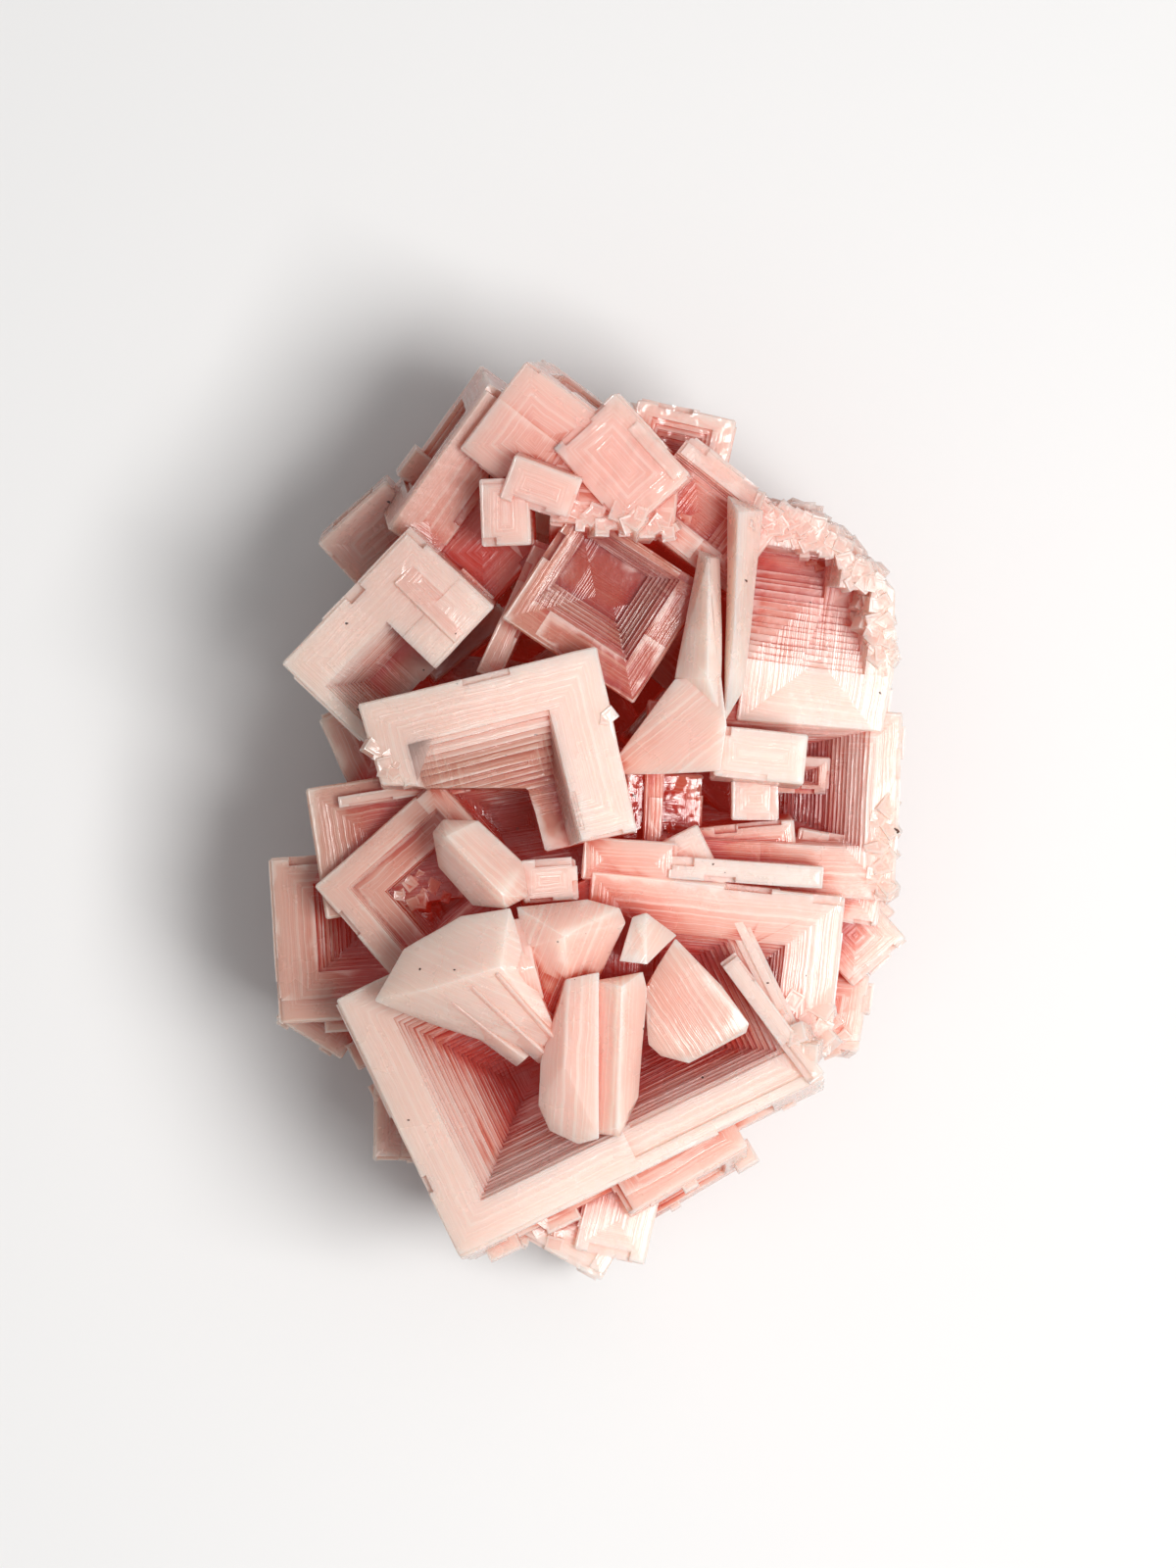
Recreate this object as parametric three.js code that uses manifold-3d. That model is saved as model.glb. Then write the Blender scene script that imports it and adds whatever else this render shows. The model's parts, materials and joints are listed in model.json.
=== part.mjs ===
// Pink halite cluster: cubic hopper crystals grown together into one solid, on a flat broken base.
// Millimetres, +Z up. The origin is on the plane that the cluster rests on, under its middle.

import * as THREE from 'three';
import { ConvexGeometry } from 'three/addons/geometries/ConvexGeometry.js';
import { mergeVertices } from 'three/addons/utils/BufferGeometryUtils.js';
import Module from 'manifold-3d';

const wasm = await Module();
wasm.setup();

// Driving dimensions of the whole cluster
const LENGTH = 100; // along Y
const WIDTH = 69; // along X
const HEIGHT = 52; // highest crystal over the base

// Hopper pits: a pit goes down in steps from its mouth to its floor
const PIT_STEPS = 5; // in a pit that names no other number
const MOUTH_CLEARANCE = 2; // how far a pit's cutter stands out of the face that it opens in

// The mass of small crystals that the named ones grow from
const CORE_COUNT = 40;
const CORE_SMALLEST = 9;
const CORE_SPREAD = 6; // largest less smallest
const CORE_REACH = 0.6; // share of the half length and half width that their middles fill
const CORE_TOP = 0.42; // share of the height that their middles fill
const CORE_STRETCH = 1.2; // length over breadth
const CORE_TURN = 40; // largest stray from the spiral's own turn, in degrees
const CORE_DIP = 30; // most that one dips less the least, in degrees
const CORE_ROLL = 50; // most that one rolls less the least, in degrees

// A ring of crystals round the flank, each with a pit in its outward face
const FLANK_COUNT = 14;
const FLANK_EDGE = 13; // of a middling one
const FLANK_SPREAD = 5; // largest less smallest
const FLANK_REACH = 0.8; // share of the half length and half width where their outward faces stand
const FLANK_LOW = 13; // top of the lowest over the base
const FLANK_LIFT = 14; // highest top less lowest
const FLANK_RIM = 0.2; // share of the edge, all round the pit
const FLANK_PIT = 0.3; // share of the edge, in depth
const FLANK_STEPS = 3; // steps in each pit
const FLANK_TALL = 1.2; // height over breadth
const FLANK_TURN = 60; // most that one turns from facing outwards less the least, in degrees
const FLANK_ROLL = 24; // most that one rolls less the least, in degrees

const GOLDEN_ANGLE = 137.508; // degrees from one core crystal to the next
const SPREAD_STEPS = [0.618034, 0.754878, 0.56984, 0.438579]; // each spreads a sequence evenly

const DEGREE = Math.PI / 180;

// Crystals. Each is a box of a size, or an outline with a height, with its top at its own z = 0.
// at: where the middle of the top face sits.
// turn: compass turn of its x axis, how far that axis dips, and its roll about it, in degrees.
// corners: the corners of a many-sided crystal, where they sit in the cluster.
// pits: the face that they open in, the rim's widths (west, east, south, north, and below 0 where the
// pit breaks out), the depth, the floor's size, and its shift from the middle of the mouth.
const CRYSTALS = [
  {
    name: 'south hopper',
    at: [-1, -22.8, 43], size: [43, 30.5, 20], turn: [26, 0, -6],
    pits: [
      { on: 'top', rims: [4.8, 2, 4.5, 4.5], depth: 15, floor: [15, 3], shift: [-3, -1], steps: 9 },
      { on: 'top', rims: [21.5, 1.2, 1.4, 4.5], depth: 2, floor: [16, 6], shift: [0, 0], steps: 3 },
      { on: 'south', rims: [5, 6, 4, 3.5], depth: 4, floor: [20, 4], shift: [-2, -1] },
      { on: 'west', rims: [4, 5, 4, 3.5], depth: 4, floor: [11, 4], shift: [0, -1] },
    ],
  },
  { name: 'south hopper, east wall', at: [19.5, -20.4, 45], size: [16, 2, 12], turn: [126.5, 3, 0] },
  {
    name: 'south hopper, under ledge',
    at: [-3, -26, 27], size: [38, 26, 14], turn: [28, 0, -4],
    pits: [{ on: 'south', rims: [4, 6, 3, 2], depth: 4, floor: [16, 3], shift: [0, 0], steps: 3 }],
  },
  {
    name: 'centre hopper',
    at: [-9.4, 6.2, 48], height: 11, turn: [14, 2, -3],
    outline: [[-12.7, 10], [-12.5, 1.2], [-8.6, 0.2], [2.6, -2.6], [2.8, -9.5], [12.6, -10], [13, 10]],
    pits: [
      { on: 'top', rims: [4, 6.4, -3, 5.4], depth: 6.6, floor: [13, 9], shift: [0, -3], steps: 6 },
      { on: 'top', rims: [15.9, 5.8, 1.4, 14.4], depth: 0.8, floor: [2, 2], shift: [0, 0], steps: 2 },
    ],
  },
  {
    name: 'upper hopper',
    at: [1.8, 23.6, 43], size: [16.6, 14.4, 14], turn: [-33, 2, 3],
    pits: [{ on: 'top', rims: [1.8, 3, 3.4, 0.8], depth: 4.6, floor: [8, 6], shift: [-1, 0.5] }],
  },
  {
    name: 'west cube',
    at: [-21.3, 20.2, 43], size: [20, 12, 17], turn: [46, -5, 3],
    pits: [
      { on: 'top', rims: [1.5, 9, -3, 5], depth: 9, floor: [6, 6], shift: [1, -1] },
      { on: 'north', rims: [4, 4, 4, 3], depth: 3, floor: [8, 5], shift: [0, 0], steps: 4 },
    ],
  },
  { name: 'west cube, step', at: [-16.4, 23.8, 44.4], size: [5, 9, 8], turn: [44, -5, 3] },
  {
    name: 'west diamond',
    at: [-17.2, -7.2, 40], size: [17.4, 17, 14], turn: [41.5, -5, -5],
    pits: [
      { on: 'top', rims: [2.6, 2, 2, 2.4], depth: 1.2, floor: [12, 12], shift: [0, 0], steps: 2 },
      { on: 'top', rims: [4.8, 3, 4.4, 5], depth: 9, floor: [4, 4], shift: [0, 0] },
    ],
  },
  {
    name: 'west ledge hopper',
    at: [-26, -12, 33], size: [16, 17.8, 18], turn: [4, -7, -3],
    pits: [
      { on: 'top', rims: [4.6, 2, 5.2, 3], depth: 6, floor: [3, 3], shift: [0, 0] },
      { on: 'west', rims: [3, 3, 4, 3], depth: 4, floor: [5, 4], shift: [0, 0] },
    ],
  },
  {
    name: 'west plate',
    at: [-14.6, -0.8, 37], size: [29.4, 14, 12], turn: [9, 0, 0],
    pits: [{ on: 'top', rims: [14, 1.5, 3, 1.8], depth: 9, floor: [6, 3], shift: [1, 0] }],
  },
  { name: 'west plate, rim', at: [-20, 3.5, 38.4], size: [13.6, 1.2, 4], turn: [9, 0, 0] },
  { name: 'west plate, tab', at: [-14.6, 4.3, 39.4], size: [3.8, 2, 4], turn: [11, 0, 0] },
  {
    name: 'east hopper',
    at: [13, -14.8, 42], size: [27, 17, 16], turn: [-6, 0, 4],
    pits: [{ on: 'top', rims: [6, 5.8, -2, 5.6], depth: 8, floor: [6, 8], shift: [1, -2] }],
  },
  {
    name: 'east cavern',
    at: [19.6, 2.6, 38.5], size: [27.2, 20, 22], turn: [-3, 0, 0],
    pits: [
      { on: 'top', rims: [2, 3.4, 5.5, 2], depth: 16, floor: [10, 6], shift: [-4.5, 0.5], steps: 8 },
      { on: 'east', rims: [3, 3, 5, 3], depth: 4, floor: [6, 5], shift: [0, 0] },
    ],
  },
  { name: 'cavern ledge', at: [22.6, 5.4, 33.5], size: [7, 4, 6], turn: [-3, 0, 0],
    pits: [{ on: 'top', rims: [0.8, 1.2, 1, 1], depth: 3, floor: [2.4, 0.8], shift: [0, 0], steps: 3 }] },
  {
    name: 'north-east hopper',
    at: [24.8, 21.3, 40], height: 22, turn: [-8, 0, 5],
    outline: [[-7.5, -11.5], [8.4, -10.5], [8.4, -4], [7.4, 5], [3.5, 7], [-2.4, 11.5], [-7.3, 11.8]],
    pits: [
      { on: 'top', rims: [-2, 7, 7, 4], depth: 9, floor: [8, 2], shift: [0, 4], steps: 7 },
      { on: 'top', rims: [6, 3, 7, 7.4], depth: 7, floor: [3, 2], shift: [0, 3], steps: 6 },
      { on: 'east', rims: [4, 8, 5, 4], depth: 4, floor: [5, 6], shift: [0, 0] },
    ],
  },
  {
    name: 'fin base',
    corners: [
      [2.9, 6.9, 43.8], [2.9, 5.4, 43.4], [8.4, 12.8, 46], [9.2, 15.6, 46.4], [13.9, 15.6, 47.6],
      [14.6, 10.6, 48], [14, 5.8, 47.4], [7, 5.5, 45.4],
      [3.4, 6.2, 35], [8.6, 12.5, 35], [14, 15, 35], [14.2, 6, 35],
    ],
  },
  {
    name: 'fin, west wall',
    corners: [
      [11.8, 29.2, 44.5], [14, 28.4, 44.5], [12.7, 28.2, 47.8], [11.2, 25, 45], [14.1, 20, 46.6],
      [10.1, 19.8, 45.4], [12.6, 15.6, 48.8], [9.2, 15.6, 45.6], [13.9, 12, 47.6],
      [12, 28.5, 34], [14, 28, 34], [9.4, 15, 34], [13.8, 12, 34],
    ],
  },
  {
    name: 'fin, east wall',
    corners: [
      [14.8, 35, 44], [18.6, 33.4, 43.5], [16.6, 33, 47.6], [17.2, 20.9, 45.6], [15.6, 20.5, 48],
      [14.4, 10.8, 47.2], [16.4, 14.4, 46],
      [15, 34, 34], [18.4, 33, 34], [14.8, 12, 34], [16.4, 15, 34],
    ],
  },
  { name: 'fin, south arm', at: [18.3, 7.5, 46.4], size: [9.6, 5.4, 8], turn: [-6, 2, -4] },
  { name: 'top pyramid', at: [3.4, 38.6, 44.5], size: [9, 12, 14], turn: [42, -4, -6] },
  {
    name: 'top cube',
    at: [-5.6, 41.2, 42.5], size: [11.6, 12, 18], turn: [-38, -4, 8],
    pits: [{ on: 'north', rims: [2.5, 2.5, 3, 4], depth: 3, floor: [4, 6], shift: [0, 0], steps: 4 }],
  },
  {
    name: 'north-west prism',
    at: [-13.4, 37.6, 39], size: [19, 6.4, 14], turn: [54, -8, 12],
    pits: [{ on: 'north', rims: [4, 4, 3, 3], depth: 2, floor: [8, 5], shift: [0, 0], steps: 3 }],
  },
  {
    name: 'north glassy cube',
    at: [9.5, 39.2, 38], size: [11, 11, 18], turn: [-12.5, 0, 0],
    pits: [
      { on: 'top', rims: [2, 2.4, 2, 1.6], depth: 2.4, floor: [4, 4], shift: [0, 0], steps: 3 },
      { on: 'north', rims: [2, 2, 3, 3], depth: 3, floor: [4, 6], shift: [0, 0], steps: 4 },
    ],
  },
  {
    name: 'north-east slab',
    at: [13, 33, 42], size: [13.4, 11, 14], turn: [-38, 2, -6],
    pits: [{ on: 'top', rims: [-2, 3, 3, 2.2], depth: 2.4, floor: [8, 5], shift: [0, 0], steps: 3 }],
  },
  { name: 'north knob', at: [-8.8, 33.2, 44.5], size: [5.2, 7.2, 9], turn: [2, -4, 3] },
  { name: 'north lump', at: [-5, 35.6, 45.5], size: [7.6, 5, 8], turn: [-20, 0, 10] },
  { name: 'north crust', at: [2.8, 34.6, 43.5], size: [13.2, 6.6, 9], turn: [-5, 0, -10] },
  { name: 'north-west plate', at: [-11.4, 29.4, 35], size: [9, 9, 8], turn: [-43, 0, 4] },
  { name: 'slanting wall', at: [-7.6, 23, 39], size: [15.5, 2.6, 12], turn: [66, 0, 0] },
  {
    name: 'far west cube',
    at: [-23.4, 31.4, 29], size: [10, 7, 14], turn: [42, -4, 6],
    pits: [{ on: 'north', rims: [2, 2, 3, 2], depth: 2, floor: [4, 5], shift: [0, 0], steps: 3 }],
  },
  { name: 'far west small cube', at: [-28.2, 24.6, 23], size: [5.5, 5.5, 10], turn: [22, 4, 4] },
  { name: 'west lower block', at: [-23, 8.6, 31], size: [9, 10, 12], turn: [24, 0, 0] },
  {
    name: 'south tip, west cube',
    at: [-0.6, -43, 26], size: [10.4, 10, 20], turn: [-29, 0, -3],
    pits: [{ on: 'south', rims: [2, 2.4, 3, 2.6], depth: 2.4, floor: [4, 8], shift: [0, 0], steps: 3 }],
  },
  { name: 'south tip, east cube', at: [3.4, -42.6, 27], size: [8, 9.4, 20], turn: [-13, 0, -3] },
  {
    name: 'south-east plate',
    at: [8.6, -34.6, 29], size: [15, 9.5, 18], turn: [30, 4, -10],
    pits: [{ on: 'south', rims: [3, 3, 4, 3], depth: 3, floor: [5, 5], shift: [0, 0], steps: 4 }],
  },
  { name: 'east lower cube', at: [26.4, -20, 29], size: [7.6, 8.4, 16], turn: [-8, 0, -6] },
  {
    name: 'east point cube',
    at: [29, -12, 31], size: [8, 8, 16], turn: [42, 0, 0],
    pits: [{ on: 'east', rims: [2, 2, 3, 2], depth: 2.5, floor: [3, 6], shift: [0, 0], steps: 3 }],
  },
  { name: 'east middle cube', at: [26.8, -5.6, 36], size: [10, 9, 12], turn: [-10, 0, 0] },
  { name: 'south-west plate', at: [-29.6, -21.8, 25], size: [8.4, 4, 10], turn: [-32, 0, -4] },
  {
    name: 'south-west block',
    at: [-19.7, -31.4, 28], size: [7.4, 10.5, 18], turn: [0, 0, 0],
    pits: [{ on: 'west', rims: [2, 2, 3, 2], depth: 2.4, floor: [3, 6], shift: [0, 0], steps: 3 }],
  },
  {
    name: 'south arrow, west',
    corners: [
      [-22.7, -18.6, 46.6], [-19.4, -13, 46.6], [-13.6, -9.4, 48], [-8.2, -8.8, 49], [-6.2, -14.7, 50],
      [-9.2, -14.7, 51.5], [-16.5, -17, 49.2], [-16.6, -21.2, 45], [-5, -24.8, 44], [-2.6, -23.4, 47],
      [-15, -13, 34], [-5, -20, 34], [-8, -10, 34],
    ],
  },
  {
    name: 'south arrow, first fold',
    corners: [
      [-9.6, -15.4, 51.7], [-2.8, -23.2, 47.6], [-10.8, -16.4, 48.6], [-4, -24.2, 45.5],
      [-8.4, -14.4, 49.5], [-1.6, -22.2, 45.5],
    ],
  },
  {
    name: 'south arrow, second fold',
    corners: [
      [-12.2, -16.9, 50.4], [-4.2, -24.4, 46.4], [-13.2, -18, 47.6], [-5.2, -25.3, 44.4],
      [-11.2, -15.8, 48.5], [-3.2, -23.4, 45],
    ],
  },
  {
    name: 'south arrow, third fold',
    corners: [
      [-14.4, -18.6, 48.6], [-6.6, -24.8, 45], [-15.2, -19.8, 45.6], [-7.6, -25.6, 43],
      [-13.4, -17.4, 47], [-5.6, -23.8, 44],
    ],
  },
  {
    name: 'south arrow, north',
    corners: [
      [-7.5, -8.6, 49], [0, -7.7, 48], [3.3, -8.6, 47.5], [4.1, -10.1, 47.5], [-2.6, -11.6, 52],
      [-1.5, -21.4, 46], [-4.6, -20.9, 46], [-6.9, -12.7, 49.5],
      [-6, -10, 36], [3, -10, 36], [-2, -19, 36],
    ],
  },
  {
    name: 'south arrow, tile',
    corners: [
      [-9.2, -10, 48.6], [-6.4, -9.6, 49.2], [-5.6, -14.8, 50.4], [-9.2, -15, 51], [-7.2, -18.4, 49.4],
      [-4.6, -18.2, 48.4], [-8, -11, 38], [-6, -17, 38],
    ],
  },
  {
    name: 'south arrow, west column',
    corners: [
      [-2.3, -16.1, 50.5], [1.1, -15.3, 51.5], [1.1, -33, 47], [-1, -33.6, 46], [-4.1, -32.4, 45],
      [-5.3, -29.6, 45], [-5, -25, 46], [-2.6, -25, 48.8],
      [-4, -18, 36], [1, -16, 36], [-3, -29, 36], [1, -30, 36],
    ],
  },
  {
    name: 'south arrow, east column',
    corners: [
      [0.5, -16.3, 49.8], [5.7, -15.3, 49.5], [6.2, -17.3, 48], [5.4, -28.6, 45.5], [4.2, -30.8, 45],
      [3.4, -33, 45], [0.5, -32.6, 45], [3.6, -16.8, 51.8], [3.1, -31.8, 47.5],
      [0.5, -17, 36], [6, -17, 36], [4, -29, 36],
    ],
  },
  {
    name: 'south arrow, east',
    corners: [
      [9.3, -11.7, 47.2], [13.9, -16.8, 46.8], [17, -20.9, 46.4], [16.8, -21.8, 46.2], [13.7, -22.8, 46.4],
      [10.6, -25, 46.4], [7.7, -24.4, 46.6], [6.2, -23.1, 46.8], [5.9, -17.2, 47.4], [7.4, -14.6, 47.4],
      [7, -18.2, 47.8],
      [8, -15, 36], [14, -19, 36], [9, -22.5, 36],
    ],
  },
  {
    name: 'south arrow, pyramid',
    corners: [
      [6.2, -9, 48.5], [9.3, -11.6, 46.5], [6.2, -14.6, 49.5], [3.3, -14.2, 49.2], [4.6, -9.5, 48],
      [5, -10, 38], [8, -12, 38], [4, -14, 38],
    ],
  },
  {
    name: 'middle arrow, blade',
    corners: [
      [-16.4, -0.6, 45], [-15.4, 0.6, 46], [-11.5, 0.6, 46], [-6.7, -3.9, 46], [-6.2, -7.4, 46.5],
      [-8.6, -8.8, 48], [-12.3, -8.5, 45], [-15.9, -4.4, 44], [-14.8, -1, 47.8], [-9, -7.4, 49],
      [-14, -1, 36], [-8, -3, 36], [-8, -8, 36], [-13, -6, 36],
    ],
  },
  { name: 'middle arrow, block', at: [-4, -5.7, 46], size: [6, 4.6, 9], turn: [4, 4, -6] },
  { name: 'middle ledge', at: [4.4, -3.8, 42.5], size: [10, 4.6, 9], turn: [-4, 0, 0] },
  { name: 'middle bar', at: [16.8, -5, 43], size: [16.5, 2.4, 8], turn: [-4, 0, 0] },
  { name: 'middle step', at: [16.6, -2.4, 37.5], size: [11.5, 5, 9], turn: [5, 0, 4] },
  { name: 'hanging block', at: [17.8, 2.8, 41], size: [5, 4.4, 7], turn: [0, 0, 0] },
  { name: 'dark block', at: [8.2, 2, 37], size: [8.5, 7, 12], turn: [-2, 12, 4] },
];

// Faces of a crystal in its own axes: the way out, and the way across from its west rim to its east
const FACES = {
  top: { out: [0, 0, 1], across: [1, 0, 0] },
  east: { out: [1, 0, 0], across: [0, 1, 0] },
  north: { out: [0, 1, 0], across: [-1, 0, 0] },
  west: { out: [-1, 0, 0], across: [0, -1, 0] },
  south: { out: [0, -1, 0], across: [1, 0, 0] },
};

// A closed geometry as a solid that can be joined and cut
function toSolid(geometry) {
  const bare = geometry.clone();
  bare.deleteAttribute('normal');
  bare.deleteAttribute('uv');
  const merged = mergeVertices(bare, 1e-4);
  return new wasm.Manifold(new wasm.Mesh({
    numProp: 3,
    vertProperties: merged.attributes.position.array,
    triVerts: new Uint32Array(merged.index.array),
  }));
}

function toGeometry(solid) {
  const mesh = solid.getMesh();
  const geometry = new THREE.BufferGeometry();
  geometry.setAttribute('position', new THREE.BufferAttribute(mesh.vertProperties, mesh.numProp));
  geometry.setIndex(new THREE.BufferAttribute(mesh.triVerts, 1));
  geometry.computeVertexNormals();
  return geometry;
}

// A box between two corners
function block(low, high) {
  const size = new THREE.Vector3().subVectors(high, low);
  const middle = new THREE.Vector3().addVectors(low, high).multiplyScalar(0.5);
  return new THREE.BoxGeometry(size.x, size.y, size.z).translate(middle.x, middle.y, middle.z);
}

// The crystal's own box, in its own axes
function ownBox(crystal) {
  if (crystal.corners) {
    return new THREE.Box3().setFromPoints(crystal.corners.map((spot) => new THREE.Vector3(...spot)));
  }
  if (crystal.outline) {
    const edge = new THREE.Box2().setFromPoints(crystal.outline.map(([x, y]) => new THREE.Vector2(x, y)));
    return new THREE.Box3(
      new THREE.Vector3(edge.min.x, edge.min.y, -crystal.height),
      new THREE.Vector3(edge.max.x, edge.max.y, 0),
    );
  }
  const [width, depth, height] = crystal.size;
  return new THREE.Box3(
    new THREE.Vector3(-width / 2, -depth / 2, -height),
    new THREE.Vector3(width / 2, depth / 2, 0),
  );
}

function uncutForm(crystal, box) {
  if (crystal.corners) return new ConvexGeometry(crystal.corners.map((spot) => new THREE.Vector3(...spot)));
  if (!crystal.outline) return block(box.min, box.max);
  const shape = new THREE.Shape(crystal.outline.map(([x, y]) => new THREE.Vector2(x, y)));
  return new THREE.ExtrudeGeometry(shape, { depth: crystal.height, bevelEnabled: false })
    .translate(0, 0, -crystal.height);
}

// The blocks that cut one pit, each lower and smaller than the last, in the crystal's own axes
function pitBlocks(pit, box) {
  const out = new THREE.Vector3(...FACES[pit.on].out);
  const across = new THREE.Vector3(...FACES[pit.on].across);
  const along = new THREE.Vector3().crossVectors(out, across);
  const size = box.getSize(new THREE.Vector3());
  const half = (way) => Math.abs(way.dot(size)) / 2;
  const face = box.getCenter(new THREE.Vector3()).addScaledVector(out, half(out));
  const toCrystal = new THREE.Matrix4().makeBasis(across, along, out).setPosition(face);

  const [west, east, south, north] = pit.rims;
  const mouth = [-half(across) + west, half(across) - east, -half(along) + south, half(along) - north];
  const middle = [(mouth[0] + mouth[1]) / 2 + pit.shift[0], (mouth[2] + mouth[3]) / 2 + pit.shift[1]];
  const floor = [
    middle[0] - pit.floor[0] / 2, middle[0] + pit.floor[0] / 2,
    middle[1] - pit.floor[1] / 2, middle[1] + pit.floor[1] / 2,
  ];
  const steps = pit.steps ?? PIT_STEPS;
  return Array.from({ length: steps }, (_, step) => {
    const share = step / (steps - 1);
    const [u0, u1, v0, v1] = mouth.map((edge, side) => THREE.MathUtils.lerp(edge, floor[side], share));
    const bottom = -pit.depth * (step + 1) / steps;
    return block(new THREE.Vector3(u0, v0, bottom), new THREE.Vector3(u1, v1, MOUTH_CLEARANCE))
      .applyMatrix4(toCrystal);
  });
}

// Where a crystal sits in the cluster
function placeOf(crystal) {
  if (crystal.corners) return new THREE.Matrix4();
  const [yaw, dip, roll] = crystal.turn.map((angle) => angle * DEGREE);
  return new THREE.Matrix4()
    .makeRotationFromEuler(new THREE.Euler(roll, dip, yaw, 'ZYX'))
    .setPosition(...crystal.at);
}

function crystalSolid(crystal) {
  const box = ownBox(crystal);
  const place = placeOf(crystal);
  const placed = (geometry) => toSolid(geometry.applyMatrix4(place));
  const pits = (crystal.pits ?? []).flatMap((pit) => pitBlocks(pit, box));
  return pits.reduce(
    (solid, cutter) => solid.subtract(placed(cutter)),
    placed(uncutForm(crystal, box)),
  );
}

// Small crystals packed round a spiral, from the middle of the base outwards, most of them low
function coreCrystals() {
  return Array.from({ length: CORE_COUNT }, (_, index) => {
    const [grow, lift, tip, lean] = SPREAD_STEPS.map((step) => (index * step) % 1);
    const angle = index * GOLDEN_ANGLE * DEGREE;
    const reach = Math.sqrt((index + 0.5) / CORE_COUNT) * CORE_REACH;
    const edge = CORE_SMALLEST + CORE_SPREAD * grow;
    return {
      name: `core ${index + 1}`,
      at: [
        Math.cos(angle) * reach * WIDTH / 2,
        Math.sin(angle) * reach * LENGTH / 2,
        edge / 2 + lift * lift * HEIGHT * CORE_TOP,
      ],
      size: [edge * CORE_STRETCH, edge, edge],
      turn: [index * GOLDEN_ANGLE + CORE_TURN * tip, CORE_DIP * (lean - 0.5), CORE_ROLL * (tip - 0.5)],
    };
  });
}

function flankCrystals() {
  return Array.from({ length: FLANK_COUNT }, (_, index) => {
    const [grow, lift, tip, lean] = SPREAD_STEPS.map((step) => (index * step) % 1);
    const angle = (index + 0.5 * tip) * 360 / FLANK_COUNT * DEGREE;
    const edge = FLANK_EDGE + FLANK_SPREAD * (grow - 0.5);
    const facing = Math.atan2(Math.sin(angle) / LENGTH, Math.cos(angle) / WIDTH);
    const rim = FLANK_RIM * edge;
    return {
      name: `flank ${index + 1}`,
      at: [
        FLANK_REACH * Math.cos(angle) * WIDTH / 2 - Math.cos(facing) * edge / 2,
        FLANK_REACH * Math.sin(angle) * LENGTH / 2 - Math.sin(facing) * edge / 2,
        FLANK_LOW + FLANK_LIFT * lift,
      ],
      size: [edge, edge, edge * FLANK_TALL],
      turn: [facing / DEGREE + FLANK_TURN * (lean - 0.5), 0, FLANK_ROLL * (tip - 0.5)],
      pits: [{
        on: 'east', rims: [rim, rim, rim, rim], depth: FLANK_PIT * edge,
        floor: [rim, rim], shift: [0, 0], steps: FLANK_STEPS,
      }],
    };
  });
}

// Everything over the base as one solid: its outer skin alone, so that no gap is sealed inside
function clusterSolid() {
  const grown = [...coreCrystals(), ...flankCrystals(), ...CRYSTALS]
    .map(crystalSolid)
    .reduce((cluster, crystal) => cluster.add(crystal));
  const overBase = block(
    new THREE.Vector3(-WIDTH, -LENGTH, 0),
    new THREE.Vector3(WIDTH, LENGTH, 2 * HEIGHT),
  );
  const pieces = grown.intersect(toSolid(overBase)).decompose();
  return pieces.reduce((largest, piece) => (piece.volume() > largest.volume() ? piece : largest));
}

const halite = new THREE.MeshStandardMaterial({ color: 0xefbfb2, roughness: 0.35, metalness: 0 });
const cluster = new THREE.Mesh(toGeometry(clusterSolid()), halite);
cluster.name = 'halite_cluster';

const part = new THREE.Group();
part.add(cluster);

export default part;
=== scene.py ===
"""Pink halite cluster: cubic hopper crystals grown together, seen from straight above."""
import json
import math

import bmesh
import bpy
import numpy as np
from mathutils import Euler, Matrix, Vector
from mathutils.bvhtree import BVHTree

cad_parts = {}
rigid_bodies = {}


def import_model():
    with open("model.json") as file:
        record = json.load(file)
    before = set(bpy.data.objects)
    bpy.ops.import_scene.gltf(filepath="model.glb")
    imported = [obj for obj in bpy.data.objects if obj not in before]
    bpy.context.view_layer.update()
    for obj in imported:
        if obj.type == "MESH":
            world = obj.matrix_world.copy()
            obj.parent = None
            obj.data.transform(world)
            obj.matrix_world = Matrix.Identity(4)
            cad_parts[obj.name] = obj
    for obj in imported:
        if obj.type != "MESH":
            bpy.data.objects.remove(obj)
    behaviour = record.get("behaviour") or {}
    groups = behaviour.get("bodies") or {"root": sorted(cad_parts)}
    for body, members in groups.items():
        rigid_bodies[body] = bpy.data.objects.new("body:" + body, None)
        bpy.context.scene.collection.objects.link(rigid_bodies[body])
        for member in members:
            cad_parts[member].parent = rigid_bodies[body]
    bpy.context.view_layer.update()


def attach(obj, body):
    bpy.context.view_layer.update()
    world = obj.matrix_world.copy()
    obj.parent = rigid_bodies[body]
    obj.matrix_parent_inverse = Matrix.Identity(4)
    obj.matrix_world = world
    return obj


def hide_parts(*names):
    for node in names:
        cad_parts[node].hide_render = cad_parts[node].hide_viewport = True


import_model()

# Driving dimensions of the cluster, in millimetres
MM = 0.001
LENGTH = 100
WIDTH = 69
HEIGHT = 52

# Hopper pits go down in fine uneven steps
STEP_RISE = 0.6
FEWEST_STEPS = 4
STEP_UNEVEN = 0.5
MOUTH_CLEARANCE = 2

# Worn edges and slightly uneven corners
EDGE_WEAR = 0.2
EDGE_WEAR_SHARE = 0.04
SOFT_EDGE_WEAR = 0.16
CORNER_DRIFT = 0.012

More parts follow.
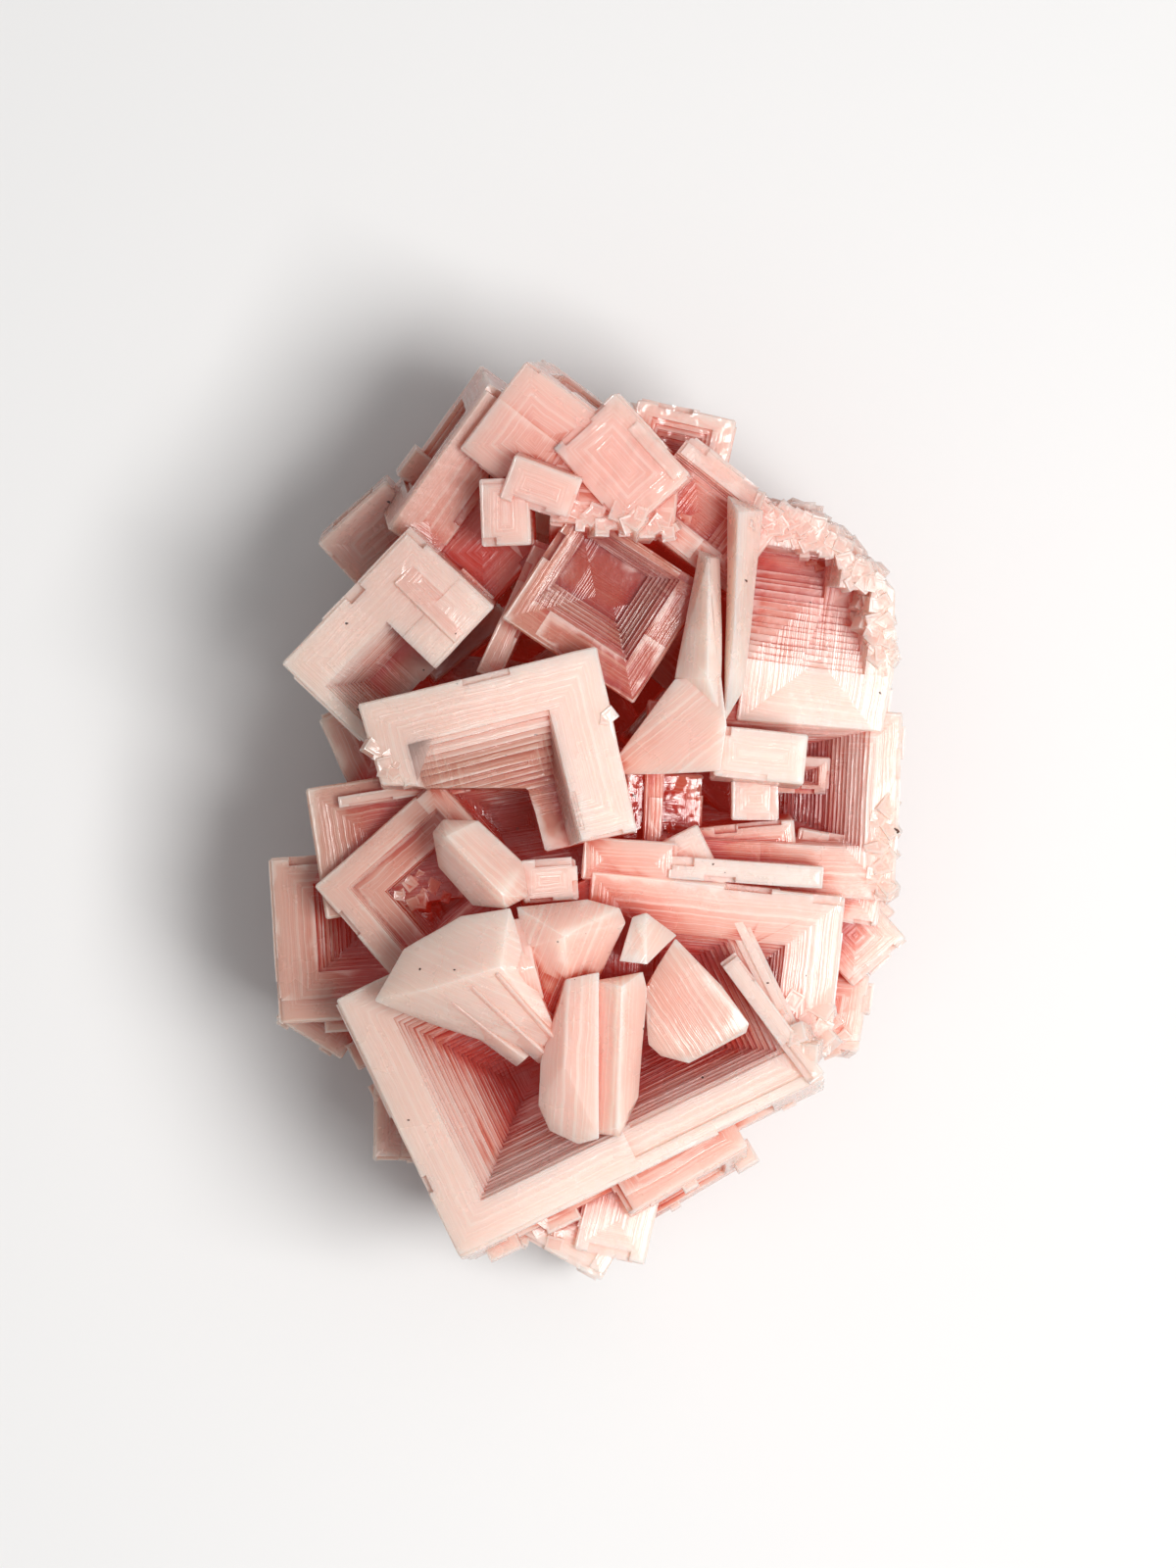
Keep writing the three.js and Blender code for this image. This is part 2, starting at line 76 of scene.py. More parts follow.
# Growth layers that stand on a crystal's faces, and notches broken out of its edges
LAYERED_FROM = 7
LAYER_THINNEST = 0.08
LAYER_SPREAD = 0.17
LAYER_ROOT = 1
LAYER_MARGIN = 0.5
LAYER_LEAST_MARGIN = 0.2
LAYER_ENDS = 1.6
NOTCHES = 4
NOTCH_SHORTEST = 1.2
NOTCH_SPREAD = 4
NOTCH_SHALLOWEST = 0.25
NOTCH_DEPTH_SPREAD = 0.8

# The mass of small crystals that the named ones grow from
CORE_COUNT = 40
CORE_SMALLEST = 9
CORE_SPREAD = 6
CORE_REACH = 0.6
CORE_TOP = 0.42
CORE_STRETCH = 1.2
CORE_TURN = 40
CORE_DIP = 30
CORE_ROLL = 50

# A ring of crystals round the flank, each with a pit in its outward face
FLANK_COUNT = 14
FLANK_EDGE = 13
FLANK_SPREAD = 5
FLANK_REACH = 0.8
FLANK_LOW = 13
FLANK_LIFT = 14
FLANK_RIM = 0.2
FLANK_PIT = 0.3
FLANK_TALL = 1.2
FLANK_TURN = 60
FLANK_ROLL = 24

GOLDEN_ANGLE = 137.508
SPREAD_STEPS = (0.618034, 0.754878, 0.56984, 0.438579)

# Strides that keep the scatter of one thing apart from that of another
CORNER_STRIDE = 8
LAYER_STRIDE = 29
LAYER_FACE_STRIDE = 7
NOTCH_STRIDE = 19
NEXT_NOTCH_STRIDE = 5
PIT_STRIDE = 7
NEXT_PIT_STRIDE = 3
PATCH_STRIDE = 53

# Small cubes grown on the flanks and in patches on top
FLANK_GRAINS = 90
GRAIN_SMALLEST = 1.4
GRAIN_SPREAD = 2.6
GRAIN_LOW = 5
GRAIN_RISE = 26
GRAIN_STANDS_OUT = 0.25
CRUST_STANDS_OUT = 0.06
GRAIN_EDGE_LEAST = 0.6
GRAIN_EDGE_RANGE = 0.8
GRAIN_BREADTH_LEAST = 0.8
GRAIN_BREADTH_RANGE = 0.5
GRAIN_TALL = 1.4
GRAIN_TILT = 40

# Surface of the grown cluster
LONGEST_EDGE = 3
HALVINGS = 4
SURFACE_ROLL = 0.2
ROLL_SPAN = 7
SURFACE_GRAIN = 0.05
GRAIN_SPAN = 1.6
FLAT_BELOW = 0.3
SMOOTH_UNDER = 28
CREASE_FROM = 0.4
OVER_BASE = "over the base"

# The blur that tells sunk places from open ones, read a little off the surface
SUNK_BLUR = 5
SUNK_OFF = 1.0
BLUR_REACH = 3 * SUNK_BLUR + 1
CELL_MARGIN = 2
BELOW_BASE = -1
PAST_FACE = 0.001
SHORT_OF_LAST_CELL = 1.001

# Salt colours, from open faces to the deepest hollows; the deep reds are painted shade where the salt is
# sunk
SALT_BY_DEPTH = (
    (0.2, (0.9, 0.61, 0.53)),
    (0.4, (0.88, 0.53, 0.45)),
    (0.5, (0.8, 0.38, 0.3)),
    (0.58, (0.64, 0.17, 0.11)),
    (0.68, (0.46, 0.03, 0.015)),
    (0.8, (0.36, 0.004, 0.002)),
)
# Milky white of the salt, also used as painted highlight on edges
MILK_AND_HIGHLIGHT = (0.95, 0.79, 0.71, 1)
SPECK = (0.08, 0.03, 0.02, 1)
# Painted shade, for crystals in shadow and for shaded pits
SHADE_TINT = (0.6, 0.4, 0.32, 1)

# Red light that gathers in the hollows
HOLLOW_GLOW = (0.16, 0.008, 0.004, 1)

# The salt is darker and browner to the west, painted shade on the side away from the window, and rosier to
# the north: shares of its colour, and of width and length
WEST_SHADE_TINT = (0.74, 0.72, 0.7, 1)
WEST_FROM, WEST_TO = 0, -0.32
NORTH_TINT = (0.97, 0.86, 0.86, 1)
NORTH_FROM, NORTH_TO = 0.14, 0.36

# Patterns in the salt: how many to a metre, and growth lines to a millimetre
WANDER_PER_METRE = 300
WANDER = 0.5
CLOUDS_PER_METRE = 160
FINE_PER_METRE = 900
SPECKS_PER_METRE = 1100
CHIPS_PER_METRE = 350
LINES_PER_MM = 1.5
LAYERS_PER_MM = 1.3
LINE_DETAIL = 3
LINE_ROUGHNESS = 0.7
CLOUD_DETAIL = 4
CLOUD_ROUGHNESS = 0.6
FINE_DETAIL = 3

# How much each pattern deepens or pales the salt, among them painted shade in pits and inward corners and
# painted highlight on edges
CLOUD_SHARE = 0.16
FACE_MIDDLE_SHARE = 0.08
PIT_SHADE_SHARE = 0.04
LINE_SHARE = 0.12
CORNER_SHADE_SHARE = 0.1
MILK_SHARE = 0.15
MILKY_LINES = 0.5
EDGE_HIGHLIGHT = 0.55

# Where the patterns set in and are full, in millimetres from faces or in their own values
RIM_SPAN = (3, 0.4)
FACE_MIDDLE_SPAN = (-0.3, -4)
PIT_SPAN = (0.6, 6)
IN_PIT_SPAN = (0.8, 3)
EDGE_SPAN = (0.3, 1)
CORNER_SPAN = (-0.1, -1)
BROAD_SPAN = (1, 2.4)
MILKY_LINE_SPAN = (0.48, 0.62)
MILKY_OPEN_SPAN = (0.66, 0.45)
MILKY_DEPTH_SPAN = (0.6, 0.4)
SPECK_SPAN = (0.87, 0.88)
GLOW_SPAN = (0.46, 0.72)
CLOUD_SPAN = (0.3, 0.7)

# Gloss, relief and clearness of the salt
SMOOTHEST = 0.16
ROUGHER_BY = 0.18
GLASS_SMOOTHER_BY = 0.6
LINE_RELIEF = 0.6
LAYER_RELIEF = 0.5
FINE_RELIEF = 0.25
CHIP_RELIEF = 4
RELIEF_STRENGTH = 0.6
RELIEF_HEIGHT = 0.3
SALT_IOR = 1.544
SCATTER_WEIGHT = 0.8
SCATTER_RADIUS = (1.0, 0.68, 0.58)
SCATTER_REACH = 6
CLEAR_SHARE = 0.12
ABSORBED_COLOUR = (0.97, 0.55, 0.48, 1)
ABSORPTION_PER_METRE = 60
GLOW_STRENGTH = 0.5

# Studio, in metres and watts
FLOOR_SIZE = 4
FLOOR_GREY = (0.72, 0.72, 0.72, 1)
FLOOR_ROUGHNESS = 0.8
WINDOW = {"spot": (0.27, -0.1, 0.66), "size": 0.28, "power": 5.2, "colour": (1, 0.985, 0.97)}
CEILING = {"spot": (0, 0, 1.02), "size": 1.6, "power": 4.3, "colour": (1, 1, 1)}
SKY = (1, 1, 1, 1)
SKY_STRENGTH = 0.18

# Camera and photo frame
PHOTO_MM_PER_PIXEL = 0.105
PHOTO_HEIGHT = 1600
PHOTO_MIDDLE_ABOVE = 42
CAMERA_OVER_CRYSTALS = 560
CRYSTAL_LEVEL = 38


def pit(on, rims, depth, floor, shift=(0, 0)):
    """A stepped pit: its face, the rim's widths west, east, south and north, its depth and its floor."""
    return {"on": on, "rims": rims, "depth": depth, "floor": floor, "shift": shift}


def crystal(
    name, turn=(0, 0, 0), size=None, at=(0, 0, 0), outline=None, height=None, corners=None, pits=(),
):
    """A crystal: a box, an outline or a many-sided form, turned by compass, dip and roll."""
    return {
        "name": name, "turn": turn, "size": size, "at": at, "outline": outline, "height": height,
        "corners": corners, "pits": pits,
    }


def patch(name, start, end, spread, count, edge):
    """Small cubes scattered along a line on the cluster, seen from above."""
    return {"name": name, "start": start, "end": end, "spread": spread, "count": count, "edge": edge}


PATCHES = (
    patch("north-east crust", start=(19, 34), end=(29, 28.6), spread=2, count=110, edge=1.3),
    patch("east crust", start=(29, 28.6), end=(32.2, 17), spread=1.5, count=80, edge=1.2),
    patch("north crust", start=(-1, 33), end=(9.5, 31.6), spread=1.2, count=34, edge=1.4),
    patch("diamond grains", start=(-19.6, -6), end=(-16, -9), spread=1.6, count=18, edge=1.1),
    patch("gap lump", start=(2.2, 11.8), end=(3.4, 11.2), spread=0.5, count=8, edge=1),
    patch("south-east bits", start=(22, -19.6), end=(26.4, -24), spread=2.2, count=20, edge=1.6),
    patch("centre west end", start=(-22.4, 8.4), end=(-19.4, 4.8), spread=0.9, count=8, edge=1.2),
    patch("east rim bits", start=(31.4, 2), end=(31.2, -8), spread=1.1, count=26, edge=1.4),
    patch("south tip bits", start=(-6, -44), end=(-3, -45), spread=1.4, count=6, edge=1.4),
)

# How much milkier than the rest some crystals are, and below 0 how much darker with painted shade where
# they lie in shadow, and how far all stray
MILK_AND_SHADE = {
    "north-east hopper": 0.4,
    "fin, west wall": 0.3,
    "fin, east wall": 0.4,
    "fin, south arm": 0.3,
    "centre hopper": 0.3,
    "west cube": 0.5,
    "south hopper": 0.35,
    "south tip, west cube": 0.4,
    "south tip, east cube": 0.4,
    "middle bar": 0.3,
    "south arrow, west": 0.5,
    "upper hopper": -1,
    "west plate": -0.7,
    "west ledge hopper": -0.4,
    "north-west prism": -0.3,
    "west diamond": -0.15,
    "south arrow, east": -0.3,
    "dark block": -0.6,
}
MILK_STRAY = 0.16

# How much painted shade darkens the pits of some crystals, and below 0 how much painted light makes them
# milky
SHADED_PITS = {
    "centre hopper": 0.9,
    "upper hopper": 0.3,
    "west diamond": 0.4,
    "west plate": 0.3,
    "north-east hopper": -0.15,
}

# Crystals with clean glassy faces
GLASSY = ("dark block", "north glassy cube", "top pyramid", "south arrow, tile")

# Millimetres and degrees. at: middle of the top face.
# corners: the corners of a many-sided crystal, where they sit in the cluster.
CRYSTALS = (
    crystal("south hopper", at=(-1, -22.8, 43), size=(43, 30.5, 20), turn=(26, 0, -6), pits=(
        pit("top", rims=(4.8, 2, 4.5, 4.5), depth=15, floor=(15, 3), shift=(-3, -1)),
        pit("top", rims=(21.5, 1.2, 1.4, 4.5), depth=2, floor=(16, 6)),
        pit("south", rims=(5, 6, 4, 3.5), depth=4, floor=(20, 4), shift=(-2, -1)),
        pit("west", rims=(4, 5, 4, 3.5), depth=4, floor=(11, 4), shift=(0, -1)),
    )),
    crystal("south hopper, east wall", at=(19.5, -20.4, 45), size=(16, 2, 12), turn=(126.5, 3, 0)),
    crystal("south hopper, under ledge", at=(-3, -26, 27), size=(38, 26, 14), turn=(28, 0, -4), pits=(
        pit("south", rims=(4, 6, 3, 2), depth=4, floor=(16, 3)),
    )),
    crystal("centre hopper", at=(-9.4, 6.2, 48), height=11, turn=(14, 2, -3), outline=(
        (-12.7, 10), (-12.5, 1.2), (-8.6, 0.2), (2.6, -2.6), (2.8, -9.5), (12.6, -10), (13, 10),
    ), pits=(
        pit("top", rims=(4, 6.4, -3, 5.4), depth=6.6, floor=(13, 9), shift=(0, -3)),
        pit("top", rims=(15.9, 5.8, 1.4, 14.4), depth=0.8, floor=(2, 2)),
    )),
    crystal("upper hopper", at=(1.8, 23.6, 43), size=(16.6, 14.4, 14), turn=(-33, 2, 3), pits=(
        pit("top", rims=(1.8, 3, 3.4, 0.8), depth=4.6, floor=(8, 6), shift=(-1, 0.5)),
    )),
    crystal("west cube", at=(-21.3, 20.2, 43), size=(20, 12, 17), turn=(46, -5, 3), pits=(
        pit("top", rims=(1.5, 9, -3, 5), depth=9, floor=(6, 6), shift=(1, -1)),
        pit("north", rims=(4, 4, 4, 3), depth=3, floor=(8, 5)),
    )),
    crystal("west cube, step", at=(-15.8, 24, 43.7), size=(4.4, 9.4, 8), turn=(46, 2, 3)),
    crystal("west diamond", at=(-17.2, -7.2, 40), size=(17.4, 17, 14), turn=(41.5, -5, -5), pits=(
        pit("top", rims=(2.6, 2, 2, 2.4), depth=1.2, floor=(12, 12)),
        pit("top", rims=(4.8, 3, 4.4, 5), depth=9, floor=(4, 4)),
    )),
    crystal("west ledge hopper", at=(-26, -12, 33), size=(16, 17.8, 18), turn=(4, -7, -3), pits=(
        pit("top", rims=(4.6, 2, 5.2, 3), depth=6, floor=(3, 3)),
        pit("west", rims=(3, 3, 4, 3), depth=4, floor=(5, 4)),
    )),
    crystal("west plate", at=(-14.6, -0.8, 37), size=(29.4, 14, 12), turn=(9, 0, 0), pits=(
        pit("top", rims=(14, 1.5, 3, 1.8), depth=9, floor=(6, 3), shift=(1, 0)),
    )),
    crystal("west plate, rim", at=(-20, 3.5, 38.4), size=(13.6, 1.2, 4), turn=(9, 0, 0)),
    crystal("west plate, tab", at=(-14.6, 4.3, 39.4), size=(3.8, 2, 4), turn=(11, 0, 0)),
    crystal("east hopper", at=(13, -14.8, 42), size=(27, 17, 16), turn=(-6, 0, 4), pits=(
        pit("top", rims=(6, 5.8, -2, 5.6), depth=8, floor=(6, 8), shift=(1, -2)),
    )),
    crystal("east cavern", at=(19.6, 2.6, 38.5), size=(27.2, 20, 22), turn=(-3, 0, 0), pits=(
        pit("top", rims=(2, 3.4, 5.5, 2), depth=16, floor=(10, 6), shift=(-4.5, 0.5)),
        pit("east", rims=(3, 3, 5, 3), depth=4, floor=(6, 5)),
    )),
    crystal("cavern ledge", at=(22.6, 5.4, 33.5), size=(7, 4, 6), turn=(-3, 0, 0), pits=(
        pit("top", rims=(0.8, 1.2, 1, 1), depth=3, floor=(2.4, 0.8)),
    )),
    crystal("north-east hopper", at=(24.8, 21.3, 40), height=22, turn=(-8, 0, 5), outline=(
        (-7.5, -11.5), (8.4, -10.5), (8.4, -4), (7.4, 5), (3.5, 7), (-2.4, 11.5), (-7.3, 11.8),
    ), pits=(
        pit("top", rims=(-2, 7, 7, 4), depth=9, floor=(8, 2), shift=(0, 4)),
        pit("top", rims=(6, 3, 7, 7.4), depth=7, floor=(3, 2), shift=(0, 3)),
        pit("east", rims=(4, 8, 5, 4), depth=4, floor=(5, 6)),
    )),
    crystal("fin base", corners=(
        (2.9, 6.9, 43.8), (2.9, 5.4, 43.4), (8.4, 12.8, 46), (9.2, 15.6, 46.4), (13.9, 15.6, 47.6),
        (14.6, 10.6, 48), (14, 5.8, 47.4), (7, 5.5, 45.4), (3.4, 6.2, 35), (8.6, 12.5, 35),
        (14, 15, 35), (14.2, 6, 35),
    )),
    crystal("fin, west wall", corners=(
        (11.8, 29.2, 44.5), (14, 28.4, 44.5), (12.7, 28.2, 47.8), (11.2, 25, 45), (14.1, 20, 46.6),
        (10.1, 19.8, 45.4), (12.6, 15.6, 48.8), (9.2, 15.6, 45.6), (13.9, 12, 47.6), (12, 28.5, 34),
        (14, 28, 34), (9.4, 15, 34), (13.8, 12, 34),
    )),
    crystal("fin, east wall", corners=(
        (14.8, 35, 43.6), (18.6, 33.4, 43), (15.9, 33, 48), (17.2, 20.9, 44.6), (15.4, 20.5, 48.8),
        (14.4, 10.8, 47.4), (16.4, 14.4, 45.6), (15, 34, 34), (18.4, 33, 34), (14.8, 12, 34),
        (16.4, 15, 34),
    )),
    crystal("fin, south arm", at=(18.3, 7.5, 46.4), size=(9.6, 5.4, 8), turn=(-6, 2, -4)),
    crystal("top pyramid", at=(3.4, 38.6, 44.5), size=(9, 12, 14), turn=(42, -4, -6)),
    crystal("top cube", at=(-5.6, 41.2, 42.5), size=(11.6, 12, 18), turn=(-38, -4, 8), pits=(
        pit("north", rims=(2.5, 2.5, 3, 4), depth=3, floor=(4, 6)),
    )),
    crystal("north-west prism", at=(-13.4, 37.6, 39), size=(19, 6.4, 14), turn=(54, -8, 12), pits=(
        pit("north", rims=(4, 4, 3, 3), depth=2, floor=(8, 5)),
    )),
    crystal("north glassy cube", at=(9.5, 39.2, 38), size=(11, 11, 18), turn=(-12.5, 0, 0), pits=(
        pit("top", rims=(2, 2.4, 2, 1.6), depth=2.4, floor=(4, 4)),
        pit("north", rims=(2, 2, 3, 3), depth=3, floor=(4, 6)),
    )),
    crystal("north-east slab", at=(13, 33, 42), size=(13.4, 11, 14), turn=(-38, 2, -6), pits=(
        pit("top", rims=(-2, 3, 3, 2.2), depth=2.4, floor=(8, 5)),
    )),
    crystal("north knob", at=(-8.8, 33.2, 44.5), size=(5.2, 7.2, 9), turn=(2, -4, 3)),
    crystal("north lump", at=(-5, 35.6, 45.5), size=(7.6, 5, 8), turn=(-20, 0, 10)),
    crystal("north crust", at=(2.8, 34.6, 43.5), size=(13.2, 6.6, 9), turn=(-5, 0, -10)),
    crystal("north-west plate", at=(-11.4, 29.4, 35), size=(9, 9, 8), turn=(-43, 0, 4)),
    crystal("slanting wall", at=(-7.6, 23, 39), size=(15.5, 2.6, 12), turn=(66, 0, 0)),
    crystal("far west cube", at=(-23.4, 31.4, 29), size=(10, 7, 14), turn=(42, -4, 6), pits=(
        pit("north", rims=(2, 2, 3, 2), depth=2, floor=(4, 5)),
    )),
    crystal("far west small cube", at=(-28.2, 24.6, 23), size=(5.5, 5.5, 10), turn=(22, 4, 4)),
    crystal("west lower block", at=(-23, 8.6, 31), size=(9, 10, 12), turn=(24, 0, 0)),
    crystal("south tip, west cube", at=(-0.6, -43, 26), size=(10.4, 10, 20), turn=(-29, 0, -3), pits=(
        pit("south", rims=(2, 2.4, 3, 2.6), depth=2.4, floor=(4, 8)),
    )),
    crystal("south tip, east cube", at=(3.4, -42.6, 27), size=(8, 9.4, 20), turn=(-13, 0, -3)),
    crystal("south-east plate", at=(8.6, -34.6, 29), size=(15, 9.5, 18), turn=(30, 4, -10), pits=(
        pit("south", rims=(3, 3, 4, 3), depth=3, floor=(5, 5)),
    )),
    crystal("east lower cube", at=(26.4, -20, 29), size=(7.6, 8.4, 16), turn=(-8, 0, -6)),
    crystal("east point cube", at=(29, -12, 31), size=(8, 8, 16), turn=(42, 0, 0), pits=(
        pit("east", rims=(2, 2, 3, 2), depth=2.5, floor=(3, 6)),
    )),
    crystal("east middle cube", at=(26.8, -5.6, 36), size=(10, 9, 12), turn=(-10, 0, 0)),
    crystal("south-west plate", at=(-29.6, -21.8, 25), size=(8.4, 4, 10), turn=(-32, 0, -4)),
    crystal("south-west block", at=(-19.7, -31.4, 28), size=(7.4, 10.5, 18), turn=(0, 0, 0), pits=(
        pit("west", rims=(2, 2, 3, 2), depth=2.4, floor=(3, 6)),
    )),
    crystal("south arrow, west", corners=(
        (-22.7, -18.6, 46.6), (-19.4, -13, 46.6), (-13.6, -9.4, 48), (-8.2, -8.8, 49), (-6.2, -14.7, 50),
        (-9.2, -14.7, 51.5), (-16.5, -17, 49.2), (-16.6, -21.2, 45), (-5, -24.8, 44), (-2.6, -23.4, 47),
        (-15, -13, 34), (-5, -20, 34), (-8, -10, 34),
    )),
    crystal("south arrow, first fold", corners=(
        (-9.6, -15.4, 51.7), (-2.8, -23.2, 47.6), (-10.8, -16.4, 48.6), (-4, -24.2, 45.5),
        (-8.4, -14.4, 49.5), (-1.6, -22.2, 45.5),
    )),
    crystal("south arrow, second fold", corners=(
        (-12.2, -16.9, 50.4), (-4.2, -24.4, 46.4), (-13.2, -18, 47.6), (-5.2, -25.3, 44.4),
        (-11.2, -15.8, 48.5), (-3.2, -23.4, 45),
    )),
    crystal("south arrow, third fold", corners=(
        (-14.4, -18.6, 48.6), (-6.6, -24.8, 45), (-15.2, -19.8, 45.6), (-7.6, -25.6, 43),
        (-13.4, -17.4, 47), (-5.6, -23.8, 44),
    )),
    crystal("south arrow, north", corners=(
        (-7.5, -8.6, 49), (0, -7.7, 48), (3.3, -8.6, 47.5), (4.1, -10.1, 47.5), (-2.6, -11.6, 52),
        (-1.5, -21.4, 46), (-4.6, -20.9, 46), (-6.9, -12.7, 49.5), (-6, -10, 36), (3, -10, 36),
        (-2, -19, 36),
    )),
    crystal("south arrow, tile", corners=(
        (-9.2, -10, 48.6), (-6.4, -9.6, 49.2), (-5.6, -14.8, 50.4), (-9.2, -15, 51), (-7.2, -18.4, 49.4),
        (-4.6, -18.2, 48.4), (-8, -11, 38), (-6, -17, 38),
    )),
    crystal("south arrow, west column", corners=(
        (-2.3, -16.1, 50.5), (1.1, -15.3, 51.5), (1.1, -33, 47), (-1, -33.6, 46), (-4.1, -32.4, 45),
        (-5.3, -29.6, 45), (-5, -25, 46), (-2.6, -25, 48.8), (-4, -18, 36), (1, -16, 36),
        (-3, -29, 36), (1, -30, 36),
    )),
    crystal("south arrow, east column", corners=(
        (0.5, -16.3, 49.8), (5.7, -15.3, 49.5), (6.2, -17.3, 48), (5.4, -28.6, 45.5), (4.2, -30.8, 45),
        (3.4, -33, 45), (0.5, -32.6, 45), (3.6, -16.8, 51.8), (3.1, -31.8, 47.5), (0.5, -17, 36),
        (6, -17, 36), (4, -29, 36),
    )),
    crystal("south arrow, east", corners=(
        (9.3, -11.7, 47), (13.9, -16.8, 47), (17, -20.9, 47), (16.8, -21.8, 46.8), (13.7, -22.8, 46.6),
        (10.6, -25, 46.2), (7.7, -24.4, 46.2), (6.2, -23.1, 46.4), (5.9, -17.2, 46.6), (7.4, -14.6, 46.8),
        (8, -15, 36), (14, -19, 36), (9, -22.5, 36),
    )),
    crystal("south arrow, pyramid", corners=(
        (6.2, -9, 48.5), (9.3, -11.6, 46.5), (6.2, -14.6, 49.5), (3.3, -14.2, 49.2), (4.6, -9.5, 48),
        (5, -10, 38), (8, -12, 38), (4, -14, 38),
    )),
    crystal("middle arrow, blade", corners=(
        (-16.4, -0.6, 45), (-15.4, 0.6, 46), (-11.5, 0.6, 46), (-6.7, -3.9, 46), (-6.2, -7.4, 46.5),
        (-8.6, -8.8, 48), (-12.3, -8.5, 45), (-15.9, -4.4, 44), (-14.8, -1, 47.8), (-9, -7.4, 49),
        (-14, -1, 36), (-8, -3, 36), (-8, -8, 36), (-13, -6, 36),
    )),
    crystal("middle arrow, block", at=(-4, -5.7, 46), size=(6, 4.6, 9), turn=(4, 4, -6)),
    crystal("middle ledge", at=(4.4, -3.8, 42.5), size=(10, 4.6, 9), turn=(-4, 0, 0)),
    crystal("middle bar", at=(16.8, -5, 43), size=(16.5, 2.4, 8), turn=(-4, 0, 0)),
    crystal("middle step", at=(16.6, -2.4, 37.5), size=(11.5, 5, 9), turn=(5, 0, 4)),
    crystal("hanging block", at=(17.8, 2.8, 41), size=(5, 4.4, 7)),
    crystal("dark block", at=(8.2, 2, 37), size=(8.5, 7, 12), turn=(-2, 12, 4)),
)

# Faces of a crystal in its own axes: the way out, and the way across from its west rim to its east
FACES = {
    "top": (Vector((0, 0, 1)), Vector((1, 0, 0))),
    "east": (Vector((1, 0, 0)), Vector((0, 1, 0))),
    "north": (Vector((0, 1, 0)), Vector((-1, 0, 0))),
    "west": (Vector((-1, 0, 0)), Vector((0, -1, 0))),
    "south": (Vector((0, -1, 0)), Vector((1, 0, 0))),
}


def spread(index, lane):
    """An even, repeatable scatter between 0 and 1."""
    return (index * SPREAD_STEPS[lane]) % 1


def box_round(spots):
    """Lowest and highest corner of the box round some spots."""
    axes = list(zip(*spots))
    return Vector([min(axis) for axis in axes]), Vector([max(axis) for axis in axes])


def own_box(one):
    """Lowest and highest corner of a crystal in its own axes, in millimetres."""
    if one["corners"]:
        return box_round(one["corners"])
    if one["outline"]:
        xs, ys = zip(*one["outline"])
        return Vector((min(xs), min(ys), -one["height"])), Vector((max(xs), max(ys), 0))
    width, depth, height = one["size"]
    return Vector((-width / 2, -depth / 2, -height)), Vector((width / 2, depth / 2, 0))


def place_of(one):
    """Where a crystal sits in the cluster, from its own millimetres to metres."""
    yaw, dip, roll = (math.radians(angle) for angle in one["turn"])
    turned = Euler((roll, dip, yaw), "XYZ").to_matrix().to_4x4()
    return Matrix.Translation(Vector(one["at"]) * MM) @ turned @ Matrix.Scale(MM, 4)


def grain_of(one):
    """The way from the cluster's metres to the axes that growth lines follow, and a crystal's box there."""
    if not one["corners"]:
        return place_of(one).inverted(), *own_box(one)
    across = np.cov(np.array(one["corners"])[:, :2].T)
    lengthwise = math.atan2(2 * across[0, 1], across[0, 0] - across[1, 1]) / 2
    turned = Matrix.Rotation(-lengthwise, 4, "Z")
    along = [turned @ Vector(spot) for spot in one["corners"]]
    return turned @ Matrix.Scale(1 / MM, 4), *box_round(along)


def core_crystals():
    """Small crystals packed round a spiral, from the middle of the base outwards, most of them low."""
    found = []
    for index in range(CORE_COUNT):
        grow, lift, tip, lean = (spread(index, lane) for lane in range(4))
        angle = math.radians(index * GOLDEN_ANGLE)
        reach = math.sqrt((index + 0.5) / CORE_COUNT) * CORE_REACH
        edge = CORE_SMALLEST + CORE_SPREAD * grow
        found.append(crystal(
            f"core {index + 1}",
            at=(
                math.cos(angle) * reach * WIDTH / 2,
                math.sin(angle) * reach * LENGTH / 2,
                edge / 2 + lift * lift * HEIGHT * CORE_TOP,
            ),
            size=(edge * CORE_STRETCH, edge, edge),
            turn=(
                index * GOLDEN_ANGLE + CORE_TURN * tip,
                CORE_DIP * (lean - 0.5),
                CORE_ROLL * (tip - 0.5),
            ),
        ))
    return found


def flank_crystals():
    """Crystals round the flank, each with a pit that faces outwards."""
    found = []
    for index in range(FLANK_COUNT):
        grow, lift, tip, lean = (spread(index, lane) for lane in range(4))
        angle = math.radians((index + 0.5 * tip) * 360 / FLANK_COUNT)
        edge = FLANK_EDGE + FLANK_SPREAD * (grow - 0.5)
        facing = math.atan2(math.sin(angle) / LENGTH, math.cos(angle) / WIDTH)
        rim = FLANK_RIM * edge
        found.append(crystal(
            f"flank {index + 1}",
            at=(
                FLANK_REACH * math.cos(angle) * WIDTH / 2 - math.cos(facing) * edge / 2,
                FLANK_REACH * math.sin(angle) * LENGTH / 2 - math.sin(facing) * edge / 2,
                FLANK_LOW + FLANK_LIFT * lift,
            ),
            size=(edge, edge, edge * FLANK_TALL),
            turn=(math.degrees(facing) + FLANK_TURN * (lean - 0.5), 0, FLANK_ROLL * (tip - 0.5)),
            pits=(pit("east", (rim, rim, rim, rim), FLANK_PIT * edge, (rim, rim)),),
        ))
    return found


def skin_of(blocks):
    """A search tree over the faces of all blocks, and which block each face belongs to."""
    spots = []
    faces = []
    owners = []
    for number, block in enumerate(blocks):
        first = len(spots)
        spots.extend(vertex.co.copy() for vertex in block.data.vertices)
        for face in block.data.polygons:
            faces.append([first + corner for corner in face.vertices])
            owners.append(number)
    return BVHTree.FromPolygons(spots, faces), owners


